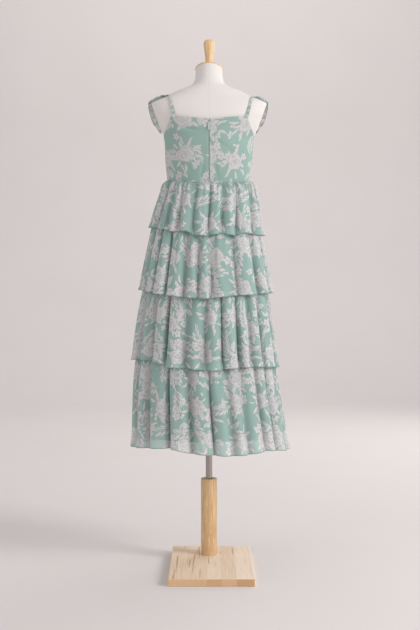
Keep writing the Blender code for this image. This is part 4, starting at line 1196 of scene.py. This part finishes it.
# %% The slider and the tab
def enamel():
    """Pale green enamel; noise 1 mm across makes it a little darker and glossier in places."""
    look = Look("pale green enamel")
    place = look.add("TexCoord", out=3)
    wear = look.add("TexNoise", place, named={"Scale": 0.9 / MM, "Detail": 3.0})
    tone = look.add("MapRange", wear, 0.35, 0.65, 0.0, 1.0)
    colour = look.add("Mix", tone, named={6: linear("#b9d3c8"), 7: linear("#cfe2da")}, **COLOURS)
    gloss = look.add("MapRange", wear, 0.3, 0.7, 0.25, 0.45)
    coat = look.add("BsdfPrincipled", named={"Base Color": colour, "Roughness": gloss, "Metallic": 0.2})
    look.add("OutputMaterial", coat)
    return look.material


def dress_node(name, material, edge=0.0):
    """Gives a CAD node its procedural material and, if asked, softly bevelled edges."""
    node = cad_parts[name]
    node.data.materials.clear()
    node.data.materials.append(material)
    if edge:
        bevel = node.modifiers.new("soft edges", "BEVEL")
        bevel.width = edge
        bevel.segments = 2
        bevel.limit_method = "ANGLE"
    print(f"{name}: {material.name}")


zip_enamel = enamel()
dress_node("zip_slider", zip_enamel, 0.0003)
dress_node("zip_pull_tab", zip_enamel, 0.0002)

# %% [markdown]
# ## The zip's tape
# Behind the slot between the two backs lies a dark tape with the coil on it. It is a soft piece, so it
# gets a grid of its own, with the coil standing up down its middle.

# %% The tape
TAPE_WIDTH, TAPE_TRIM, TAPE_REACH = 0.014, 0.003, 0.0030
COIL_HEIGHT, COIL_HALF_WIDTH = 0.0007, 0.0014


def zip_tape_cloth():
    """Dark green tape whose ribs are a sine 1 mm long, the pitch of the coil's teeth."""
    look = Look("zip tape and coil")
    axis = look.add("SeparateXYZ", look.add("TexCoord", out=3))
    teeth = look.add("Math:SINE", look.add("Math:MULTIPLY", axis.node.outputs[2], 2 * math.pi / (1.0 * MM)))
    # painted light and shade: the tape is lighter on each raised rib and darker in the hollow between them
    tone = look.add("MapRange", teeth, -1.0, 1.0, 0.0, 1.0)
    colour = look.add("Mix", tone, named={6: linear("#3f5d52"), 7: linear("#5f8072")}, **COLOURS)
    bump = look.add("Bump", named={"Strength": 0.5, "Distance": 0.0004, "Height": teeth})
    woven = look.add("BsdfPrincipled", named={"Base Color": colour, "Roughness": 0.7, "Normal": bump})
    look.add("OutputMaterial", woven)
    return look.material


def tape_grid(rows, columns):
    """A strip 3 mm off the form down the middle of the back + a bell 0.7 mm high across it, the coil."""
    across = np.linspace(-TAPE_WIDTH / 2, TAPE_WIDTH / 2, columns)
    heights = np.linspace(BACK_TOP[-1][1] - TAPE_TRIM, WAIST["back"] + TAPE_TRIM, rows)[:, None]
    skin_y = torso_point(np.full((rows, 1), -math.pi / 2), heights, cut=False)[..., 1]
    coil = COIL_HEIGHT * np.exp(-((across / COIL_HALF_WIDTH) ** 2))
    return stacked(across, skin_y - TAPE_REACH - coil, heights), stacked(across, heights)


points, flat = tape_grid(90, 25)
tape = grid_object("zip_tape_strip", points, flat, zip_tape_cloth(), CLOTH)
put_on_form(tape, "lining", "zip_tape")
print("tape down to", WAIST["back"] + TAPE_TRIM, "m")

# %% [markdown]
# ## Turned wood
# The cap and the finial are turned beech and the post is a pine dowel, all under a satin finish. Long
# grain is noise stretched along the axis. Fine fibres, 0.4 mm wide, make the bump.

# %% Turned wood
def turned_wood(name, light, dark, grain_width):
    """Two noises stretched along the axis, one of the grain's width and one of fibres, mixed 75 to 35."""
    look = Look(name)
    place = look.add("TexCoord", out=3)
    across, along = 1 / grain_width, 0.08 / grain_width
    grain_place = look.add("VectorMath:MULTIPLY", place, (across, across, along))
    rough_grain = {"Scale": 1.0, "Detail": 5.0, "Roughness": 0.6, "Distortion": 0.6}
    grain = look.add("TexNoise", grain_place, named=rough_grain)
    fibre_place = look.add("VectorMath:MULTIPLY", place, (2.5 / MM, 2.5 / MM, 0.09 / MM))
    fibres = look.add("TexNoise", fibre_place, named={"Scale": 1.0, "Detail": 2.0})
    mixed = look.add("Math:MULTIPLY_ADD", fibres, 0.35, look.add("Math:MULTIPLY", grain, 0.75))
    tone = look.add("MapRange", mixed, 0.38, 0.72, 0.0, 1.0)
    colour = look.add("Mix", tone, named={6: linear(dark), 7: linear(light)}, **COLOURS)
    bump = look.add("Bump", named={"Strength": 0.15, "Distance": 0.0003, "Height": fibres})
    wood = look.add("BsdfPrincipled", named={"Base Color": colour, "Roughness": 0.42, "Normal": bump})
    look.add("OutputMaterial", wood)
    return look.material


beech = turned_wood("turned beech", "#ecd0a6", "#cfa672", 0.006)
post_pine = turned_wood("turned pine post", "#e6c89d", "#b98f60", 0.005)
print("turned wood:", len(beech.node_tree.nodes), "nodes")

# %% [markdown]
# ## The board
# The board is glued up from pine strips whose grain runs from back to front. Each strip's grain slides by
# a random number, so that no two match. Pitch streaks are thin and dark; the front edge is end grain and
# darker.

# %% Laminated pine
STRIP_WIDTH, FIRST_STRIP = 0.042, 0.006


def laminated_pine():
    """Stretched noise, slid and toned by a random number for each strip, and another for end grain."""
    look = Look("laminated pine")
    place = look.add("TexCoord", out=3)
    x = look.add("SeparateXYZ", place)
    strips = look.add("Math:DIVIDE", look.add("Math:ADD", x, FIRST_STRIP), STRIP_WIDTH)
    strip = look.add("Math:FLOOR", strips)
    draw = look.add("TexWhiteNoise", named={"W": strip}, noise_dimensions="1D")
    slide_x = look.add("Math:MULTIPLY", strip, 3.1)
    slide = look.add("CombineXYZ", slide_x, look.add("Math:MULTIPLY", draw, 9.0), strip)
    grain_place = look.add("VectorMath:MULTIPLY_ADD", place, (0.26 / MM, 0.009 / MM, 0.06 / MM), slide)
    grain = look.add("TexNoise", grain_place, named={"Scale": 1.0, "Detail": 4.0, "Distortion": 0.8})
    streak_place = look.add("VectorMath:MULTIPLY_ADD", place, (0.12 / MM, 0.004 / MM, 0.02 / MM), slide)
    streak = look.add("TexNoise", streak_place, named={"Scale": 1.0, "Detail": 2.0})
    streaks = look.add("MapRange", streak, 0.66, 0.71, 0.0, 0.85)
    tone = look.add("Math:MULTIPLY_ADD", grain, 0.8, look.add("Math:MULTIPLY", draw, 0.35))
    pale = look.add("MapRange", tone, 0.35, 0.85, 0.0, 1.0)
    colour = look.add("Mix", pale, named={6: linear("#e0c6aa"), 7: linear("#f3e3d0")}, **COLOURS)
    colour = look.add("Mix", streaks, named={6: colour, 7: linear("#b98d63")}, **COLOURS)
    at_joint = look.add("MapRange", look.add("Math:FRACT", strips), 0.0, 0.02, 1.0, 0.0)
    glue = look.add("Math:MULTIPLY", at_joint, 0.25)
    colour = look.add("Mix", glue, named={6: colour, 7: linear("#b08a64")}, **COLOURS)
    face = look.add("SeparateXYZ", look.add("TexCoord", out=1))
    front = look.add("MapRange", look.add("Math:ABSOLUTE", face.node.outputs[1]), 0.5, 0.9, 0.0, 1.0)
    ring_place = look.add("VectorMath:MULTIPLY", place, (0.3 / MM, 0.005 / MM, 0.9 / MM))
    rings = look.add("TexNoise", ring_place, named={"Scale": 1.0, "Detail": 3.0})
    end_grain = look.add("Mix", rings, named={6: linear("#c99f72"), 7: linear("#e4c7a2")}, **COLOURS)
    dark = look.add("Math:MULTIPLY", draw, 0.55)
    end_grain = look.add("Mix", dark, named={6: end_grain, 7: linear("#b4824f")}, **COLOURS)
    colour = look.add("Mix", front, named={6: colour, 7: end_grain}, **COLOURS)
    bump = look.add("Bump", named={"Strength": 0.12, "Distance": 0.0004, "Height": grain})
    wood = look.add("BsdfPrincipled", named={"Base Color": colour, "Roughness": 0.6, "Normal": bump})
    look.add("OutputMaterial", wood)
    return look.material


board_pine = laminated_pine()
print("laminated pine:", len(board_pine.node_tree.nodes), "nodes")

# %% [markdown]
# ## The mast
# The mast is drawn steel tube, polished along its length. Real draw lines are finer than a hair; these
# are 0.3 mm apart and only change the roughness, which is enough to break up the reflection.

# %% Polished steel
def polished_steel():
    """Noise 0.3 mm wide and 50 mm long moves the roughness between 0.14 and 0.26."""
    look = Look("polished steel")
    line_place = look.add("VectorMath:MULTIPLY", look.add("TexCoord", out=3), (3 / MM, 3 / MM, 0.02 / MM))
    drawn = look.add("TexNoise", line_place, named={"Scale": 1.0, "Detail": 2.0})
    rough = look.add("MapRange", drawn, 0.3, 0.7, 0.14, 0.26)
    finish = {"Base Color": linear("#a9a29a"), "Metallic": 1.0, "Roughness": rough}
    look.add("OutputMaterial", look.add("BsdfPrincipled", named=finish))
    return look.material


steel = polished_steel()
print("polished steel:", len(steel.node_tree.nodes), "nodes")

# %% [markdown]
# ## Cap and finial
# Both are turned, so each is a profile swept round the axis, which a lathe does too. The cap lies on the
# tilted neck, so its level planes are sheared. The finial's foot takes the same tilt and loses it 10 mm
# up.

# %% Cap and finial
CAP_Z = NECK_TOP + SEAM_GAP
CAP_THICK = 0.0042
CAP_DEPTH_RATIO = 0.0440 / 0.0415
# radius, height over the neck
CAP = (
    (0.0400, 0.0), (0.0414, 0.0006), (0.0416, 0.0016), (0.0414, 0.0028),
    (0.0406, 0.0037), (0.0392, CAP_THICK), (0.0200, CAP_THICK),
)
# height over the cap, radius
FINIAL = (
    (0.0005, 0.0102),
    (0.010, 0.0098),
    (0.014, 0.0106),
    (0.019, 0.0107),
    (0.025, 0.0108),
    (0.050, 0.0137),
    (0.064, 0.0158),
    (0.072, 0.0165),
    (0.078, 0.0160),
    (0.082, 0.0145),
    (0.085, 0.0114),
    (0.0862, 0.0078),
)
FINIAL_FOOT, FINIAL_CROWN, FINIAL_TOP = FINIAL[0][0], FINIAL[8][0], FINIAL[-1][0]
LEVEL_FROM = 0.010


def turned_piece(name, radius, height, tilt, sides, squash=1.0):
    """A profile swept round the axis, its depth squashed and each ring tilted about x by its own slope."""
    turn = turns_of(sides)
    y = radius[:, None] * np.sin(turn) * squash
    points = stacked(radius[:, None] * np.cos(turn), y, height[:, None] - tilt[:, None] * y)[::-1]
    lengths = arc_lengths(stacked(radius, height))[::-1]
    flat = stacked(np.linspace(0, 0.15, sides + 1)[None, :], lengths[:, None])
    return grid_object(name, points, flat, beech, closed=True, caps=("first", "last"))


cap_radius, cap_height = np.array(CAP).T
cap_tilt = np.full(len(CAP), NECK_TILT)
cap = turned_piece("neck_cap_disc", cap_radius, CAP_Z + cap_height, cap_tilt, 96, CAP_DEPTH_RATIO)
put_on_form(cap, "turned_wood", "form_neck_cap")
crown = np.linspace(FINIAL_CROWN, FINIAL_TOP, 14)[1:]
heights = np.concatenate([np.linspace(FINIAL_FOOT, FINIAL_CROWN, 40), crown])
foot_tilt = NECK_TILT * np.maximum(0.0, 1 - heights / LEVEL_FROM)
finial_z = CAP_Z + CAP_THICK + SEAM_GAP + heights
finial = turned_piece("finial_knob", smooth_read(FINIAL, heights), finial_z, foot_tilt, 64)
put_on_form(finial, "turned_wood", "form_finial")
print("finial's top at", round(float(finial_z[-1]), 4), "m")

# %% [markdown]
# ## The stand
# Board, post and mast are plain turned and sawn shapes that the CAD already has right, so they only get
# their wood and steel.

# %% The stand's looks
dress_node("stand_board", board_pine)
dress_node("stand_post", post_pine)
dress_node("stand_mast", steel)

# %% [markdown]
# ## The backdrop
# The photo has a seamless pinkish-grey backdrop. In a studio it is a roll of paper that curves up from
# the floor, so that no line shows where the wall begins.

# %% The backdrop
PAPER_HALF_WIDTH, PAPER_FRONT, PAPER_TOP = 12.0, -12.0, 9.0
PAPER_FLAT_TO, BEND_MIDDLE, BEND_RADIUS = 2.0, 4.5, 2.5


def seamless_paper():
    """Matt paper with hardly any unevenness: a noise half a metre across between two close greys."""
    look = Look("seamless paper")
    place = look.add("TexCoord", out=3)
    tone = look.add("TexNoise", place, named={"Scale": 2.0, "Detail": 2.0})
    colour = look.add("Mix", tone, named={6: linear("#dad6d5"), 7: linear("#dfdbda")}, **COLOURS)
    look.add("OutputMaterial", look.add("BsdfPrincipled", named={"Base Color": colour, "Roughness": 0.9}))
    return look.material


def backdrop():
    """A profile of y and z, straight, a quarter circle and straight, carried along x."""
    turn = np.linspace(-math.pi / 2, 0, 24)
    bend = np.stack([BEND_MIDDLE + BEND_RADIUS * np.cos(turn), BEND_RADIUS * (1 + np.sin(turn))], axis=1)
    wall_y = BEND_MIDDLE + BEND_RADIUS
    profile = np.vstack([[PAPER_FRONT, 0.0], [PAPER_FLAT_TO, 0.0], bend, [wall_y, PAPER_TOP]])
    x = np.linspace(-PAPER_HALF_WIDTH, PAPER_HALF_WIDTH, 5)
    points = stacked(x[None, :], profile[:, :1], profile[:, 1:])
    return grid_object("backdrop", points[::-1], points[..., :2].copy(), seamless_paper())


backdrop()
print("wall at y =", BEND_MIDDLE + BEND_RADIUS, "m")

# %% [markdown]
# ## Lights
# The photo has one large soft light from the right and no hard shadow, with the left side a little
# darker. A pale world fills the shadows. Weaker panels light the left side, the front and the wall.

# %% Lights
WORLD_COLOUR, WORLD_STRENGTH = "#f0ecec", 0.66
world = bpy.data.worlds.new("studio")
bpy.context.scene.world = world
world.use_nodes = True
world.node_tree.nodes["Background"].inputs["Color"].default_value = linear(WORLD_COLOUR)
world.node_tree.nodes["Background"].inputs["Strength"].default_value = WORLD_STRENGTH


def soft_light(name, place, target, size, watts, colour):
    """A square area light aimed at a point."""
    light = bpy.data.lights.new(name, "AREA")
    light.shape = "SQUARE"
    light.size = size
    light.energy = watts
    light.color = linear(colour)[:3]
    made = bpy.data.objects.new(name, light)
    made.location = place
    made.rotation_euler = (Vector(target) - Vector(place)).to_track_quat("-Z", "Y").to_euler()
    bpy.context.scene.collection.objects.link(made)
    print(f"{name}: {watts} W over {size} m")


soft_light("key", (4.2, -2.4, 2.7), (0.0, 0.0, 0.9), 1.8, 174, "#fffcfa")
soft_light("fill", (-2.8, -2.2, 1.6), (0.0, 0.0, 0.8), 2.2, 20, "#fff8f5")
soft_light("front fill", (2.2, 3.0, 2.4), (0.0, 0.0, 0.9), 2.0, 35, "#fffaf7")
soft_light("backdrop light", (0.0, 3.6, 5.2), (0.0, 7.0, 2.0), 4.0, 74, "#fffbf9")

# %% [markdown]
# ## Camera
# The photo's perspective is that of a camera 3.2 m behind the form at 0.81 m height, tipped down by one
# degree. The lens follows from the height of the picture there.

# %% Camera
CAMERA_PLACE = (0.003, -3.197, 0.8067)
CAMERA_TIP = 0.98
LENS_MM, FRAME_MM = 60, 36
camera = bpy.data.objects.new("camera", bpy.data.cameras.new("camera"))
camera.data.sensor_fit = "VERTICAL"
camera.data.sensor_height = FRAME_MM
camera.data.lens = LENS_MM
camera.location = CAMERA_PLACE
camera.rotation_euler = (math.radians(90 - CAMERA_TIP), 0, 0)
bpy.context.scene.collection.objects.link(camera)
bpy.context.scene.camera = camera
bpy.context.scene.view_settings.view_transform = "Standard"
print("picture height at the form:", round(-CAMERA_PLACE[1] * FRAME_MM / LENS_MM, 3), "m")
